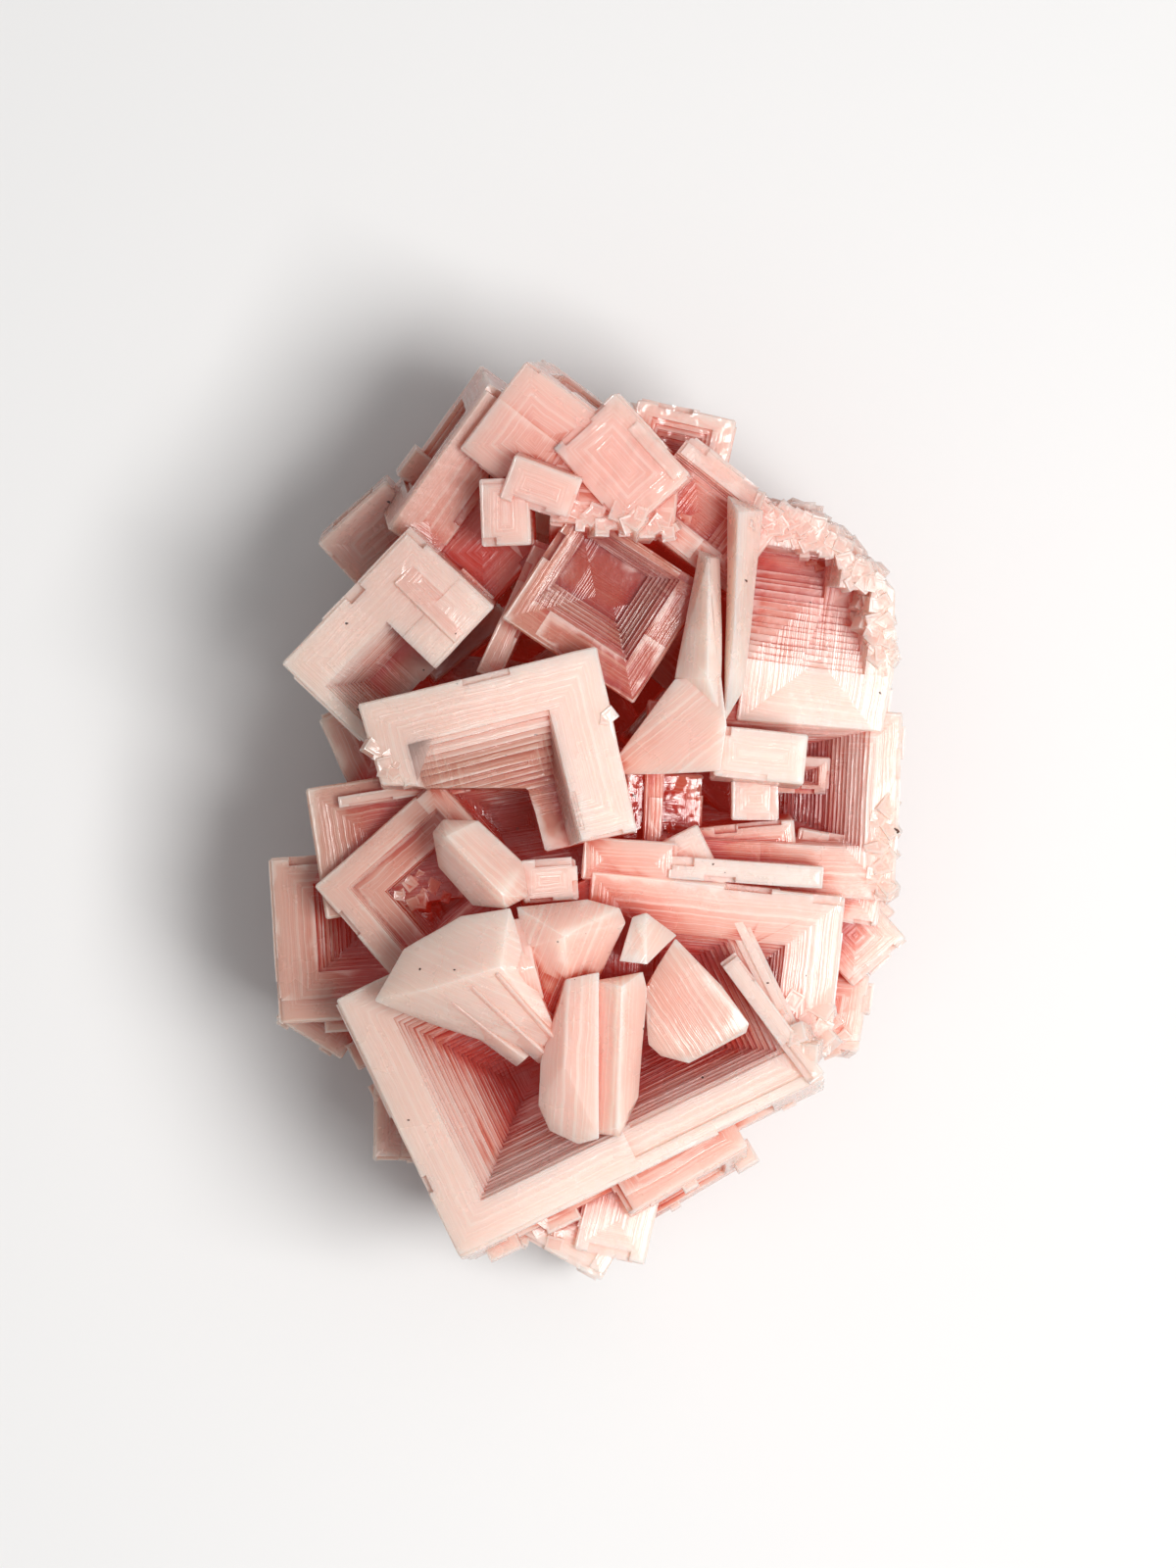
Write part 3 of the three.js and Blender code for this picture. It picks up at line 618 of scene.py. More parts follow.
def grains_from_above(tree):
    """Small cubes where each patch's line is met from above."""
    found = []
    for number, area in enumerate(PATCHES):
        start, end = Vector(area["start"]), Vector(area["end"])
        for index in range(area["count"]):
            draw = number * PATCH_STRIDE + index
            spot = start.lerp(end, (index + 0.5) / area["count"])
            spot += Vector((spread(draw, 0) - 0.5, spread(draw, 1) - 0.5)) * 2 * area["spread"]
            over = Vector((spot.x, spot.y, 2 * HEIGHT)) * MM
            met = tree.ray_cast(over, Vector((0, 0, -1)))[0]
            if met is None or met.z < GRAIN_LOW * MM:
                continue
            edge = area["edge"] * (GRAIN_EDGE_LEAST + GRAIN_EDGE_RANGE * spread(draw, 2))
            breadth = edge * (GRAIN_BREADTH_LEAST + GRAIN_BREADTH_RANGE * spread(draw, 1))
            found.append(crystal(
                f"{area['name']} {index + 1}",
                at=(spot.x, spot.y, met.z / MM + edge * CRUST_STANDS_OUT * (1 + spread(draw, 3))),
                size=(breadth, edge, edge * GRAIN_TALL),
                turn=(
                    360 * spread(draw, 3),
                    GRAIN_TILT * (spread(draw, 2) - 0.5),
                    GRAIN_TILT * (spread(draw, 0) - 0.5),
                ),
            ))
    return found


def grains_round_flank(tree, owners, crystals):
    """Small cubes on the flanks, turned as the crystals that they grow on."""
    found = []
    for index in range(FLANK_GRAINS):
        angle = math.radians(index * GOLDEN_ANGLE)
        level = GRAIN_LOW + GRAIN_RISE * spread(index, 1)
        inward = Vector((-math.cos(angle), -math.sin(angle), 0))
        outside = -inward * LENGTH + Vector((0, 0, level))
        met, _, face, _ = tree.ray_cast(outside * MM, inward)
        if met is None:
            continue
        edge = GRAIN_SMALLEST + GRAIN_SPREAD * spread(index, 2) ** 2
        breadth = edge * (GRAIN_BREADTH_LEAST + GRAIN_BREADTH_RANGE * spread(index, 3))
        found.append(crystal(
            f"flank grain {index + 1}",
            at=(met / MM + Vector((0, 0, edge / 2)) + inward * edge * GRAIN_STANDS_OUT)[:],
            size=(breadth, edge, edge),
            turn=crystals[owners[face]]["turn"],
        ))
    return found


def deselect():
    bpy.ops.object.select_all(action="DESELECT")


def take_off_scene(piece):
    bpy.context.scene.collection.objects.unlink(piece)


def pick(piece):
    deselect()
    piece.select_set(True)
    bpy.context.view_layer.objects.active = piece


def put_on_scene(piece):
    bpy.context.scene.collection.objects.link(piece)
    pick(piece)


def unit_cube():
    """A cube with sides of 1, off the scene, that boxes are copied from."""
    deselect()
    bpy.ops.mesh.primitive_cube_add(size=1)
    cube = bpy.context.object
    take_off_scene(cube)
    return cube


def add_box(low, high, within=None):
    """A box off the scene between two corners, in a crystal's own axes or in those of a face."""
    box = UNIT_CUBE.copy()
    box.data = UNIT_CUBE.data.copy()
    size = high - low
    shape = Matrix.Translation((low + high) / 2) @ Matrix.Diagonal((size.x, size.y, size.z, 1))
    box.data.transform(within @ shape if within else shape)
    return box


def face_axes(on, low, high):
    """A face's axes, across, along and out from its middle, and half its size across and along."""
    out, across = FACES[on]
    along = out.cross(across)
    size = high - low
    axes = Matrix((across, along, out)).transposed().to_4x4()
    axes.translation = (low + high) / 2 + out * abs(out.dot(size)) / 2
    return axes, abs(across.dot(size)) / 2, abs(along.dot(size)) / 2


def pit_steps(dig, low, high, seed):
    """Boxes that cut one pit, each lower and smaller than the last, with uneven ledges."""
    axes, half_across, half_along = face_axes(dig["on"], low, high)
    west, east, south, north = dig["rims"]
    mouth = (-half_across + west, half_across - east, -half_along + south, half_along - north)
    middle_u = (mouth[0] + mouth[1]) / 2 + dig["shift"][0]
    middle_v = (mouth[2] + mouth[3]) / 2 + dig["shift"][1]
    half_u, half_v = dig["floor"][0] / 2, dig["floor"][1] / 2
    floor = (middle_u - half_u, middle_u + half_u, middle_v - half_v, middle_v + half_v)
    steps = max(FEWEST_STEPS, round(dig["depth"] / STEP_RISE))
    boxes = []
    for step in range(steps):
        edges = []
        for side in range(4):
            drift = STEP_UNEVEN * (spread(seed + step * 4 + side, side) - 0.5)
            if step in (0, steps - 1):
                drift = 0
            share = (step + drift) / (steps - 1)
            edges.append(mouth[side] + (floor[side] - mouth[side]) * share)
        drop = STEP_UNEVEN * (spread(seed + step, 1) - 0.5)
        bottom = -dig["depth"] * (step + 1 + drop) / steps
        boxes.append(add_box(
            Vector((edges[0], edges[2], bottom)), Vector((edges[1], edges[3], MOUTH_CLEARANCE)), axes,
        ))
    return boxes


def layer_span(half, seed, lane):
    """Where a growth layer lies across a face: from near one edge to somewhere short of the other."""
    edge = half - LAYER_MARGIN * (LAYER_LEAST_MARGIN + spread(seed, lane))
    end = edge * LAYER_ENDS * (spread(seed + 1, lane) - 0.5)
    return (-edge, end) if spread(seed + 2, lane) < 0.5 else (end, edge)


def growth_layers(low, high, seed):
    """A thin plate on each face of a crystal, near one or two of its edges."""
    plates = []
    for order, on in enumerate(FACES):
        axes, half_across, half_along = face_axes(on, low, high)
        draw = seed * LAYER_STRIDE + order * LAYER_FACE_STRIDE
        u0, u1 = layer_span(half_across, draw, 0)
        v0, v1 = layer_span(half_along, draw, 1)
        rise = LAYER_THINNEST + LAYER_SPREAD * spread(draw, 2)
        plates.append(add_box(Vector((u0, v0, -LAYER_ROOT)), Vector((u1, v1, rise)), axes))
    return plates


def edge_notches(low, high, seed):
    """Small blocks broken out of a crystal's upper and upright edges."""
    cuts = []
    size = high - low
    for order in range(NOTCHES):
        draw = seed * NOTCH_STRIDE + order * NEXT_NOTCH_STRIDE
        run = order % 3
        middle = Vector([low[k] if spread(draw + k, 0) < 0.5 else high[k] for k in range(3)])
        if run != 2:
            middle.z = high.z
        middle[run] = low[run] + size[run] * spread(draw, 1)
        half = Vector([NOTCH_SHALLOWEST + NOTCH_DEPTH_SPREAD * spread(draw + k, 2) for k in range(3)])
        half[run] = (NOTCH_SHORTEST + NOTCH_SPREAD * spread(draw, 3)) / 2
        cuts.append(add_box(middle - half, middle + half))
    return cuts


def add_block(one, low, high, seed):
    """The crystal off the scene before its pits are cut, with corners a little out of true."""
    if one["size"]:
        block = add_box(low, high)
    else:
        spots = one["corners"] or [(x, y, low.z) for x, y in one["outline"]]
        fill = "NOTHING" if one["corners"] else "NGON"
        deselect()
        bpy.ops.mesh.primitive_circle_add(vertices=len(spots), radius=1, fill_type=fill)
        block = bpy.context.object
        for vertex, spot in zip(block.data.vertices, spots):
            vertex.co = spot
        bpy.ops.object.mode_set(mode="EDIT")
        bpy.ops.mesh.select_all(action="SELECT")
        if one["corners"]:
            bpy.ops.mesh.convex_hull()
        else:
            bpy.ops.mesh.extrude_region_move(TRANSFORM_OT_translate={"value": (0, 0, high.z - low.z)})
            bpy.ops.mesh.select_all(action="SELECT")
            bpy.ops.mesh.normals_make_consistent(inside=False)
        bpy.ops.object.mode_set(mode="OBJECT")
        take_off_scene(block)
    reach = CORNER_DRIFT * min(high - low)
    for index, vertex in enumerate(block.data.vertices):
        shift = [spread(seed * CORNER_STRIDE + index, lane) - 0.5 for lane in range(3)]
        vertex.co += 2 * reach * Vector(shift)
    block.name = one["name"]
    return block


def apply_modifier(target, kind, **settings):
    change = target.modifiers.new(kind.lower(), kind)
    for key, value in settings.items():
        setattr(change, key, value)
    bpy.context.view_layer.objects.active = target
    bpy.ops.object.modifier_apply(modifier=change.name)


def remove(objects):
    for gone in list(objects):
        mesh = gone.data
        bpy.data.objects.remove(gone)
        bpy.data.meshes.remove(mesh)


def boolean_with(target, operation, boxes):
    """Joins boxes to a crystal or cuts them out of it, and removes them."""
    held = bpy.data.collections.new("held")
    for box in boxes:
        held.objects.link(box)
    bpy.context.view_layer.update()
    apply_modifier(
        target, "BOOLEAN",
        operation=operation, solver="MANIFOLD", operand_type="COLLECTION", collection=held,
    )
    remove(held.objects)
    bpy.data.collections.remove(held)


def set_in_place(block, one, number):
    """Turns and moves a block's mesh to its place, and marks its faces with its number."""
    block.data.transform(place_of(one))
    mark(block.data, "crystal", "INT", "FACE", np.full(len(block.data.polygons), number, np.int32))


def grow_crystal(one, number):
    """One crystal with worn edges, growth layers, pits and notches, in its place in the cluster."""
    low, high = own_box(one)
    block = add_block(one, low, high, number)
    put_on_scene(block)
    if one["corners"]:
        apply_modifier(block, "BEVEL", width=SOFT_EDGE_WEAR, segments=2, limit_method="ANGLE")
        apply_modifier(block, "TRIANGULATE")
    else:
        wear = min(EDGE_WEAR, EDGE_WEAR_SHARE * min(high - low))
        apply_modifier(block, "BEVEL", width=wear, segments=1, limit_method="ANGLE")
        apply_modifier(block, "TRIANGULATE")
        if not one["outline"] and min(high - low) > LAYERED_FROM:
            boolean_with(block, "UNION", growth_layers(low, high, number))
            apply_modifier(block, "TRIANGULATE")
        cuts = edge_notches(low, high, number)
        for order, dig in enumerate(one["pits"]):
            cuts.extend(pit_steps(dig, low, high, number * PIT_STRIDE + order * NEXT_PIT_STRIDE))
        boolean_with(block, "DIFFERENCE", cuts)
        apply_modifier(block, "TRIANGULATE")
    set_in_place(block, one, number)
    take_off_scene(block)
    return block


def grow_grain(grain, number):
    """A small cube in its place, with corners out of true."""
    cube = add_block(grain, *own_box(grain), number)
    set_in_place(cube, grain, number)
    return cube


def grow_cluster(crystals):
    """All crystals joined into one solid over the base, its outer skin alone."""
    blocks = [grow_crystal(one, number) for number, one in enumerate(crystals)]
    tree, owners = skin_of(blocks)
    grains = [*grains_from_above(tree), *grains_round_flank(tree, owners, crystals)]
    for grain in grains:
        blocks.append(grow_grain(grain, len(blocks)))
    crystals.extend(grains)

    cluster = blocks[0]
    put_on_scene(cluster)
    boolean_with(cluster, "UNION", blocks[1:])
    slab = add_box(Vector((-WIDTH, -LENGTH, -HEIGHT)) * MM, Vector((WIDTH, LENGTH, 0)) * MM)
    boolean_with(cluster, "DIFFERENCE", [slab])

    pick(cluster)
    bpy.ops.object.mode_set(mode="EDIT")
    bpy.ops.mesh.select_all(action="SELECT")
    bpy.ops.mesh.separate(type="LOOSE")
    bpy.ops.object.mode_set(mode="OBJECT")
    parts = sorted(bpy.context.selected_objects, key=lambda part: -max(part.dimensions))
    remove(parts[1:])
    parts[0].name = "halite_crystals"
    return parts[0]


def read(items, key, kind=float, width=1):
    """One property of a mesh's points, edges, corners or faces: a number for each, or a row of them."""
    values = np.empty(len(items) * width, kind)
    items.foreach_get(key, values)
    return values if width == 1 else values.reshape(-1, width)


def mark(mesh, name, kind, domain, values):
    """Marks a mesh's points, corners or faces with a number each or with rows of three."""
    key = "vector" if kind == "FLOAT_VECTOR" else "value"
    mesh.attributes.new(name, kind, domain).data.foreach_set(key, np.ravel(values))


def roll_surface(cluster):
    """Breaks up the long edges, then leaves the faces a little uneven, as growth and damp do."""
    apply_modifier(cluster, "TRIANGULATE")
    pick(cluster)
    bpy.ops.object.mode_set(mode="EDIT")
    bpy.ops.mesh.select_mode(type="EDGE")
    mesh = cluster.data
    for _ in range(HALVINGS):
        bpy.ops.mesh.select_all(action="DESELECT")
        bpy.ops.object.mode_set(mode="OBJECT")
        ends = read(mesh.edges, "vertices", np.int32, 2)
        spots = read(mesh.vertices, "co", width=3)
        length = np.linalg.norm(spots[ends[:, 0]] - spots[ends[:, 1]], axis=1)
        mesh.edges.foreach_set("select", length > LONGEST_EDGE * MM)
        bpy.ops.object.mode_set(mode="EDIT")
        bpy.ops.mesh.subdivide(number_cuts=1)
    bpy.ops.mesh.select_all(action="SELECT")
    bpy.ops.mesh.quads_convert_to_tris()
    bpy.ops.object.mode_set(mode="OBJECT")

    free = cluster.vertex_groups.new(name=OVER_BASE)
    free.add([vertex.index for vertex in mesh.vertices if vertex.co.z > FLAT_BELOW * MM], 1, "REPLACE")
    for name, scale, strength in (("roll", ROLL_SPAN, SURFACE_ROLL), ("grain", GRAIN_SPAN, SURFACE_GRAIN)):
        clouds = bpy.data.textures.new(name, "CLOUDS")
        clouds.noise_scale = scale * MM
        push = cluster.modifiers.new(name, "DISPLACE")
        push.texture = clouds
        push.texture_coords = "LOCAL"
        push.strength = strength * MM
        push.vertex_group = OVER_BASE
        bpy.ops.object.modifier_apply(modifier=push.name)
    cluster.vertex_groups.clear()
    bpy.ops.object.shade_smooth_by_angle(angle=math.radians(SMOOTH_UNDER))


def salt_cells(cluster):
    """Which millimetre cells of the cluster's box are salt, and the box's low corner in millimetres."""
    tree = BVHTree.FromObject(cluster, bpy.context.evaluated_depsgraph_get())
    low = np.array((-WIDTH / 2, -LENGTH / 2 - CELL_MARGIN, 0)) - BLUR_REACH
    high = np.array((WIDTH / 2, LENGTH / 2 + CELL_MARGIN, HEIGHT)) + BLUR_REACH
    shape = np.ceil(high - low).astype(int)
    cells = np.zeros(shape)
    levels = low[2] + np.arange(shape[2]) + 0.5
    up = Vector((0, 0, 1))
    for column in np.ndindex(*shape[:2]):
        start = Vector((low[0] + column[0] + 0.5, low[1] + column[1] + 0.5, BELOW_BASE)) * MM
        inside = np.zeros(shape[2], bool)
        spot = tree.ray_cast(start, up)[0]
        while spot is not None:
            inside ^= levels > spot.z / MM
            spot = tree.ray_cast(spot + up * PAST_FACE * MM, up)[0]
        cells[column] = inside
    return cells, low


def blurred(cells):
    """The share of salt round each cell."""
    steps = np.arange(-BLUR_REACH, BLUR_REACH + 1)
    weights = np.exp(-0.5 * (steps / SUNK_BLUR) ** 2)
    weights /= weights.sum()
    for axis in range(3):
        total = np.zeros_like(cells)
        for step, weight in zip(steps, weights):
            total += weight * np.roll(cells, step, axis)
        cells = total
    return cells


def sampled(field, low, spots):
    """A field of cells read at spots in millimetres, smoothly."""
    grid = np.clip(spots - low - 0.5, 0, np.array(field.shape) - SHORT_OF_LAST_CELL)
    base = grid.astype(int)
    part = grid - base
    value = np.zeros(len(spots))
    for corner in np.ndindex(2, 2, 2):
        weight = np.prod(np.where(corner, part, 1 - part), axis=1)
        value += weight * field[tuple((base + corner).T)]
    return value


def mark_growth(cluster, crystals):
    """Where each corner lies in its own crystal, and how deep each point is sunk among the salt."""
    mesh = cluster.data
    owner = read(mesh.attributes["crystal"].data, "value", np.int32)
    owner = np.repeat(owner, read(mesh.polygons, "loop_total", np.int32))
    ends = read(mesh.loops, "vertex_index", np.int32)
    spots = read(mesh.vertices, "co", width=3)
    place = np.zeros((len(ends), 3))
    reach = np.ones((len(ends), 3))
    milk_gloss_and_shade = np.zeros((len(ends), 3))
    for number, one in enumerate(crystals):
        mine = owner == number
        to_own, low, high = grain_of(one)
        to_own = np.array(to_own)
        own = spots[ends[mine]] @ to_own[:3, :3].T + to_own[:3, 3]
        place[mine] = own - np.array((low + high) / 2)
        reach[mine] = np.array((high - low) / 2)
        if one["corners"]:
            # A many-sided crystal has lines along its length alone
            reach[mine] = np.maximum(np.abs(place[mine]), (LENGTH, 0, 0))
            reach[mine, 1] = (high.y - low.y) / 2
        milk_and_shade = MILK_AND_SHADE.get(one["name"], 0) + MILK_STRAY * (spread(number, 0) - 0.5)
        milk_gloss_and_shade[mine] = (milk_and_shade, one["name"] in GLASSY, SHADED_PITS.get(one["name"], 0))
    for name, rows in (("milk_gloss_and_shade", milk_gloss_and_shade), ("place", place), ("reach", reach)):
        mark(mesh, name, "FLOAT_VECTOR", "CORNER", rows)

    # How sunk each point is among the salt, which the material paints as shade
    normals = read(mesh.vertices, "normal", width=3)
    cells, low = salt_cells(cluster)
    sunk = sampled(blurred(cells), low, spots / MM + SUNK_OFF * normals)
    mark(mesh, "sunk", "FLOAT", "POINT", sunk)


def mark_creases(cluster):
    """Marks each point by the sharp edges that meet there: 1 on outward ones, -1 in inward corners."""
    shape = bmesh.new()
    shape.from_mesh(cluster.data)
    total = np.zeros(len(shape.verts))
    count = np.zeros(len(shape.verts))
    for edge in shape.edges:
        angle = edge.calc_face_angle_signed(0)
        if abs(angle) < CREASE_FROM:
            continue
        for end in edge.verts:
            total[end.index] += math.copysign(1, angle)
            count[end.index] += 1
    shape.free()
    mark(cluster.data, "crease", "FLOAT", "POINT", total / np.maximum(count, 1))


class Nodes:
    """A material's node tree, with short words for the nodes that it is built from."""

    def __init__(self, name):
        self.material = bpy.data.materials.new(name)
        self.material.use_nodes = True
        self.tree = self.material.node_tree
        self.shader = self.tree.nodes["Principled BSDF"]
        self.output = self.tree.nodes["Material Output"]

    def add(self, kind, **settings):
        node = self.tree.nodes.new(kind)
        for key, value in settings.items():
            setattr(node, key, value)
        return node

    def feed(self, socket, value):
        if isinstance(value, bpy.types.NodeSocket):
            self.tree.links.new(value, socket)
        else:
            socket.default_value = value

    def math(self, operation, *values):
        node = self.add("ShaderNodeMath", operation=operation)
        for socket, value in zip(node.inputs, values):
            self.feed(socket, value)
        return node.outputs[0]

    def more(self, value, pattern, share):
        """A value with a share of a pattern added."""
        return self.math("ADD", value, self.math("MULTIPLY", pattern, share))

    def parts(self, vector):
        """The three parts of a vector."""
        node = self.add("ShaderNodeSeparateXYZ")
        self.feed(node.inputs[0], vector)
        return list(node.outputs)

    def ramp(self, value, low, high):
        """0 at low and 1 at high, held beyond them."""
        node = self.add("ShaderNodeMapRange", interpolation_type="SMOOTHSTEP")
        self.feed(node.inputs["Value"], value)
        self.feed(node.inputs["From Min"], low)
        self.feed(node.inputs["From Max"], high)
        return node.outputs[0]

    def mix(self, share, first, second, blend="MIX"):
        node = self.add("ShaderNodeMix", data_type="RGBA", blend_type=blend)
        self.feed(node.inputs[0], share)
        self.feed(node.inputs[6], first)
        self.feed(node.inputs[7], second)
        return node.outputs[2]

    def tinted(self, colour, tint, share):
        """A colour multiplied by a tint, by a share."""
        return self.mix(share, colour, tint, "MULTIPLY")

    def attribute(self, name, output):
        return self.add("ShaderNodeAttribute", attribute_name=name).outputs[output]

    def noise(self, scale, detail=2.0, where=None, along=None, rough=0.5):
        node = self.add("ShaderNodeTexNoise", noise_dimensions="1D" if along else "3D")
        self.feed(node.inputs["Scale"], scale)
        self.feed(node.inputs["Detail"], detail)
        self.feed(node.inputs["Roughness"], rough)
        if along:
            self.feed(node.inputs["W"], along)
        if where:
            self.feed(node.inputs["Vector"], where)
        return node.outputs[0]


def halite_material():
    """Milky pink salt with growth lines and cloudy patches: painted highlight on edges, and painted shade
    that turns it deep red where it is sunk.
    """
    salt = Nodes("pink halite")
    spot = salt.add("ShaderNodeTexCoord").outputs["Object"]
    place = salt.parts(salt.attribute("place", "Vector"))
    reach = salt.parts(salt.attribute("reach", "Vector"))
    milk_and_shade, glass, pit_shade = salt.parts(salt.attribute("milk_gloss_and_shade", "Vector"))
    sunk = salt.attribute("sunk", "Fac")
    crease = salt.attribute("crease", "Fac")

    # How far in from the crystal's faces, along each of its axes and at the nearest
    inset = [salt.math("SUBTRACT", salt.math("ABSOLUTE", place[k]), reach[k]) for k in range(3)]
    least = salt.math("MINIMUM", inset[0], inset[1])
    most = salt.math("MAXIMUM", inset[0], inset[1])
    ring = salt.math("MAXIMUM", least, salt.math("MINIMUM", most, inset[2]))
    within = salt.math("MULTIPLY", salt.math("MAXIMUM", most, inset[2]), -1)
    rim = salt.ramp(within, *RIM_SPAN)
    in_pit = salt.ramp(within, *IN_PIT_SPAN)
    face_middle = salt.math("MULTIPLY", salt.ramp(ring, *FACE_MIDDLE_SPAN), rim)

    wander = salt.math("MULTIPLY", salt.noise(WANDER_PER_METRE, where=spot), WANDER)
    across = salt.math("ADD", ring, wander)
    upwards = salt.math("ADD", inset[2], wander)
    lines = salt.noise(LINES_PER_MM, LINE_DETAIL, along=across, rough=LINE_ROUGHNESS)
    layers = salt.noise(LAYERS_PER_MM, LINE_DETAIL, along=upwards, rough=LINE_ROUGHNESS)
    cloud = salt.noise(CLOUDS_PER_METRE, CLOUD_DETAIL, where=spot, rough=CLOUD_ROUGHNESS)
    fine = salt.noise(FINE_PER_METRE, FINE_DETAIL, where=spot)

    # Painted highlight on crystal edges, but not on those of mere grains, and painted shade in inward
    # corners
    broad = salt.math("MINIMUM", salt.math("MINIMUM", reach[0], reach[1]), reach[2])
    edge = salt.math("MULTIPLY", salt.ramp(crease, *EDGE_SPAN), salt.ramp(broad, *BROAD_SPAN))
    corner = salt.ramp(crease, *CORNER_SPAN)

    # How deep the colour is: painted shade where the salt is sunk, in pits and in inward corners, with the
    # salt's own clouds, face middles and growth lines, and less on milky rims
    depth = salt.more(sunk, salt.math("SUBTRACT", cloud, 0.5), CLOUD_SHARE)
    depth = salt.more(depth, face_middle, FACE_MIDDLE_SHARE)
    # Painted shade, deeper inside pits
    depth = salt.more(depth, salt.ramp(within, *PIT_SPAN), PIT_SHADE_SHARE)
    depth = salt.more(depth, salt.math("SUBTRACT", lines, 0.5), LINE_SHARE)
    # Painted shade in inward corners
    depth = salt.more(depth, corner, CORNER_SHADE_SHARE)
    depth = salt.more(depth, salt.math("MULTIPLY", milk_and_shade, rim), -MILK_SHARE)

    tint = salt.add("ShaderNodeValToRGB")
    salt.feed(tint.inputs[0], depth)
    stops = tint.color_ramp.elements
    for _ in range(len(SALT_BY_DEPTH) - len(stops)):
        stops.new(0.5)
    for stop, (sunk_share, colour) in zip(stops, SALT_BY_DEPTH):
        stop.position = sunk_share
        stop.color = (*colour, 1)
    colour = tint.outputs[0]

    # Milky lines and rims, painted shade on crystals in shadow and in some pits, painted light that makes
    # other pits milky, specks, and painted highlight on edges
    milky = salt.math("MULTIPLY", salt.ramp(lines, *MILKY_LINE_SPAN), salt.ramp(sunk, *MILKY_OPEN_SPAN))
    colour = salt.mix(salt.math("MULTIPLY", milky, MILKY_LINES), colour, MILK_AND_HIGHLIGHT)
    open_rim = salt.math("MULTIPLY", rim, salt.ramp(depth, *MILKY_DEPTH_SPAN))
    colour = salt.mix(salt.math("MULTIPLY", milk_and_shade, open_rim), colour, MILK_AND_HIGHLIGHT)
    colour = salt.tinted(colour, SHADE_TINT, salt.math("MULTIPLY", milk_and_shade, -1))
    # Painted shade in some pits, and painted light in others
    colour = salt.tinted(colour, SHADE_TINT, salt.math("MULTIPLY", pit_shade, in_pit))
    colour = salt.mix(salt.math("MULTIPLY", salt.math("MULTIPLY", pit_shade, -1), in_pit), colour, MILK_AND_HIGHLIGHT)
    specks = salt.noise(SPECKS_PER_METRE, detail=0, where=spot)
    colour = salt.mix(salt.ramp(specks, *SPECK_SPAN), colour, SPECK)
    # Painted highlight on edges
    colour = salt.mix(salt.math("MULTIPLY", edge, EDGE_HIGHLIGHT), colour, MILK_AND_HIGHLIGHT)
    # Painted shade to the west, away from the window, with a browner tone; rosier to the north
    east, north, _ = salt.parts(spot)
    westward = salt.ramp(east, WEST_FROM * WIDTH * MM, WEST_TO * WIDTH * MM)
    northward = salt.ramp(north, NORTH_FROM * LENGTH * MM, NORTH_TO * LENGTH * MM)
    colour = salt.tinted(colour, WEST_SHADE_TINT, westward)
    colour = salt.tinted(colour, NORTH_TINT, northward)
    salt.feed(salt.shader.inputs["Base Color"], colour)

    glow = salt.mix(salt.ramp(depth, *GLOW_SPAN), (0, 0, 0, 1), HOLLOW_GLOW)
    salt.feed(salt.shader.inputs["Emission Color"], glow)
    salt.shader.inputs["Emission Strength"].default_value = GLOW_STRENGTH

    rough = salt.more(SMOOTHEST, salt.ramp(cloud, *CLOUD_SPAN), ROUGHER_BY)
    rough = salt.math("MULTIPLY", rough, salt.more(1, glass, -GLASS_SMOOTHER_BY))
    salt.feed(salt.shader.inputs["Roughness"], rough)
    salt.shader.inputs["IOR"].default_value = SALT_IOR
    salt.shader.inputs["Subsurface Weight"].default_value = SCATTER_WEIGHT
    salt.shader.inputs["Subsurface Radius"].default_value = SCATTER_RADIUS
    salt.shader.inputs["Subsurface Scale"].default_value = SCATTER_REACH * MM
    salt.shader.inputs["Transmission Weight"].default_value = CLEAR_SHARE

    relief = salt.more(salt.math("MULTIPLY", lines, LINE_RELIEF), layers, LAYER_RELIEF)
    relief = salt.more(relief, fine, FINE_RELIEF)
    chips = salt.math("MULTIPLY", glass, salt.noise(CHIPS_PER_METRE, where=spot))
    relief = salt.more(relief, chips, CHIP_RELIEF)
    bump = salt.add("ShaderNodeBump")
    bump.inputs["Strength"].default_value = RELIEF_STRENGTH
    bump.inputs["Distance"].default_value = RELIEF_HEIGHT * MM
    salt.feed(bump.inputs["Height"], relief)
    salt.feed(salt.shader.inputs["Normal"], bump.outputs[0])

    absorb = salt.add("ShaderNodeVolumeAbsorption")
    absorb.inputs["Color"].default_value = ABSORBED_COLOUR
    absorb.inputs["Density"].default_value = ABSORPTION_PER_METRE
    salt.feed(salt.output.inputs["Volume"], absorb.outputs[0])
    return salt.material


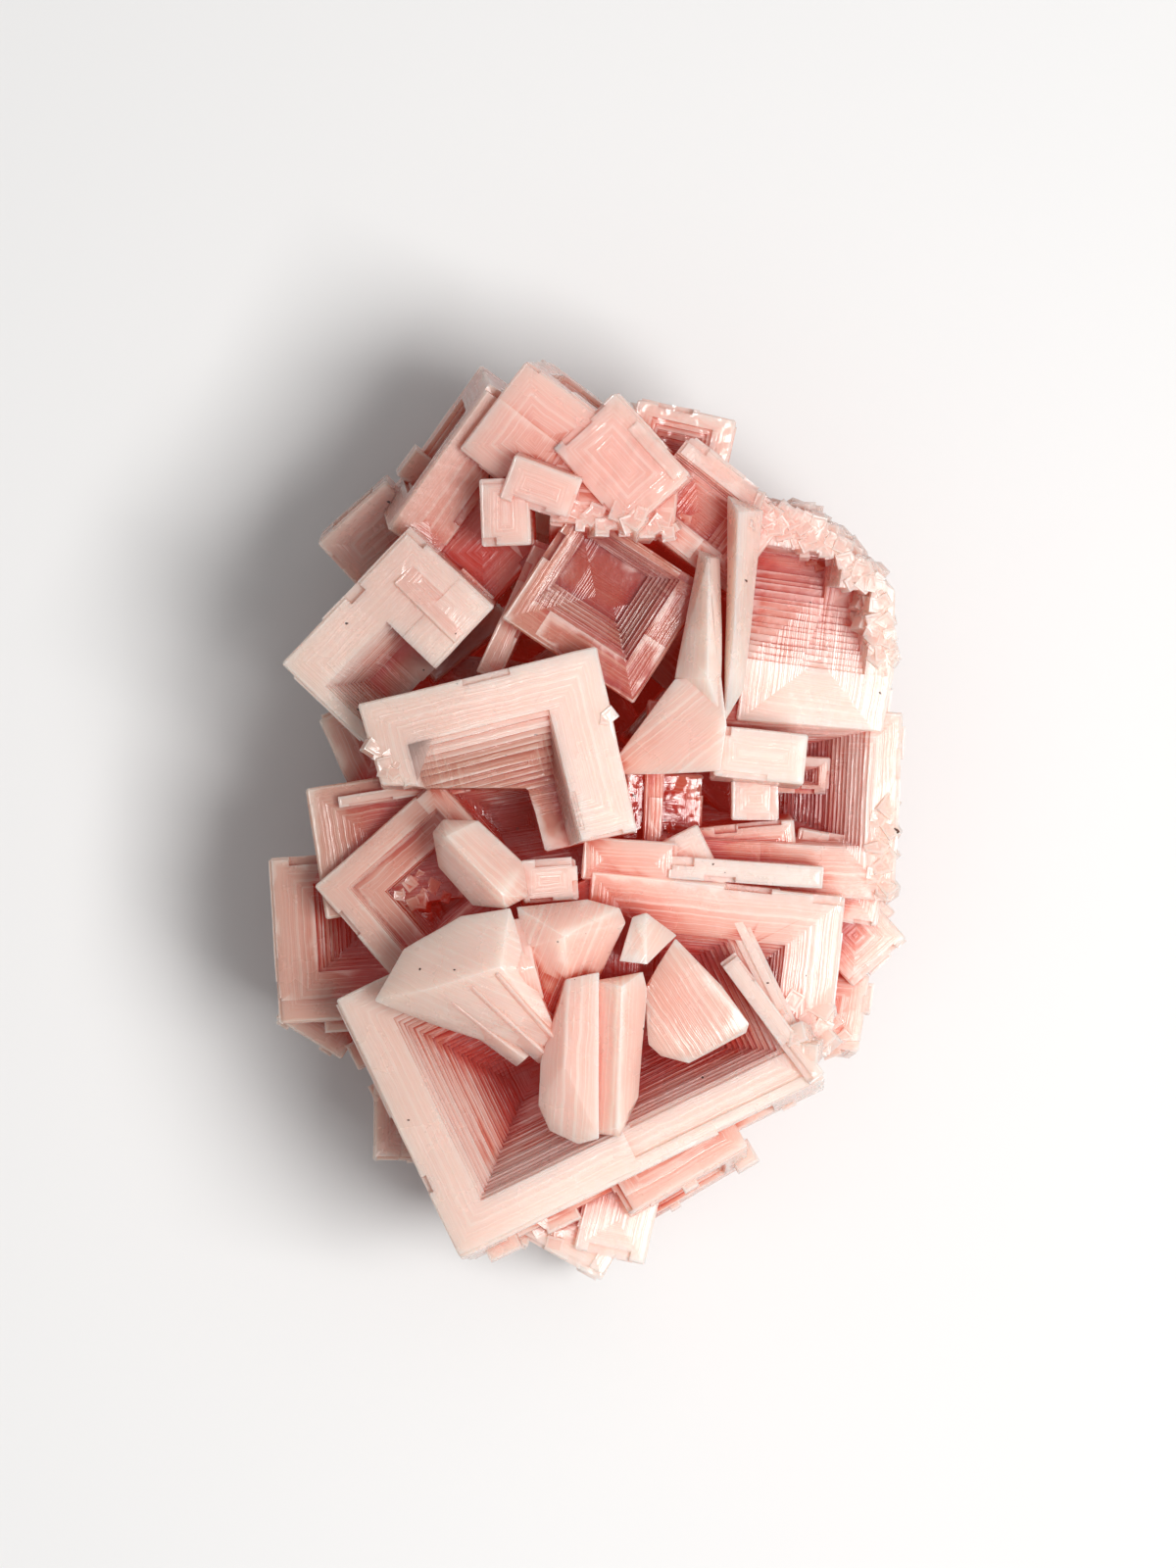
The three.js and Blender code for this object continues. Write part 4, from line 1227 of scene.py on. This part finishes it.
def plain_material(name, colour, rough):
    plain = Nodes(name)
    plain.shader.inputs["Base Color"].default_value = colour
    plain.shader.inputs["Roughness"].default_value = rough
    return plain.material


def add_light(name, aim, spot, size, power, colour):
    lamp = bpy.data.lights.new(name, "AREA")
    lamp.shape = "SQUARE"
    lamp.size = size
    lamp.energy = power
    lamp.color = colour
    holder = bpy.data.objects.new(name, lamp)
    bpy.context.scene.collection.objects.link(holder)
    holder.location = spot
    holder.rotation_euler = (Vector(aim) - Vector(spot)).to_track_quat("-Z", "Y").to_euler()


UNIT_CUBE = unit_cube()
crystals = [*core_crystals(), *flank_crystals(), *CRYSTALS]
cluster = grow_cluster(crystals)
roll_surface(cluster)
mark_growth(cluster, crystals)
mark_creases(cluster)
remove([UNIT_CUBE])
cluster.data.materials.clear()
cluster.data.materials.append(halite_material())
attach(cluster, "root")
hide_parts("halite_cluster")

# Floor, light and camera
deselect()
bpy.ops.mesh.primitive_plane_add(size=FLOOR_SIZE)
floor = bpy.context.object
floor.name = "floor"
floor.data.materials.append(plain_material("pale floor", FLOOR_GREY, FLOOR_ROUGHNESS))

middle = Vector((0, 0, CRYSTAL_LEVEL / 2 * MM))
add_light("window", middle, **WINDOW)
add_light("ceiling", middle, **CEILING)
world = bpy.data.worlds.new("studio")
bpy.context.scene.world = world
world.use_nodes = True
world.node_tree.nodes["Background"].inputs["Color"].default_value = SKY
world.node_tree.nodes["Background"].inputs["Strength"].default_value = SKY_STRENGTH
bpy.context.scene.view_settings.view_transform = "Standard"

lens = bpy.data.cameras.new("camera")
frame_height = PHOTO_HEIGHT * PHOTO_MM_PER_PIXEL
lens.lens = lens.sensor_width * CAMERA_OVER_CRYSTALS / frame_height
camera = bpy.data.objects.new("camera", lens)
bpy.context.scene.collection.objects.link(camera)
above = PHOTO_MIDDLE_ABOVE * PHOTO_MM_PER_PIXEL
camera.location = Vector((0, above, CRYSTAL_LEVEL + CAMERA_OVER_CRYSTALS)) * MM
camera.rotation_euler = (0, 0, 0)
bpy.context.scene.camera = camera
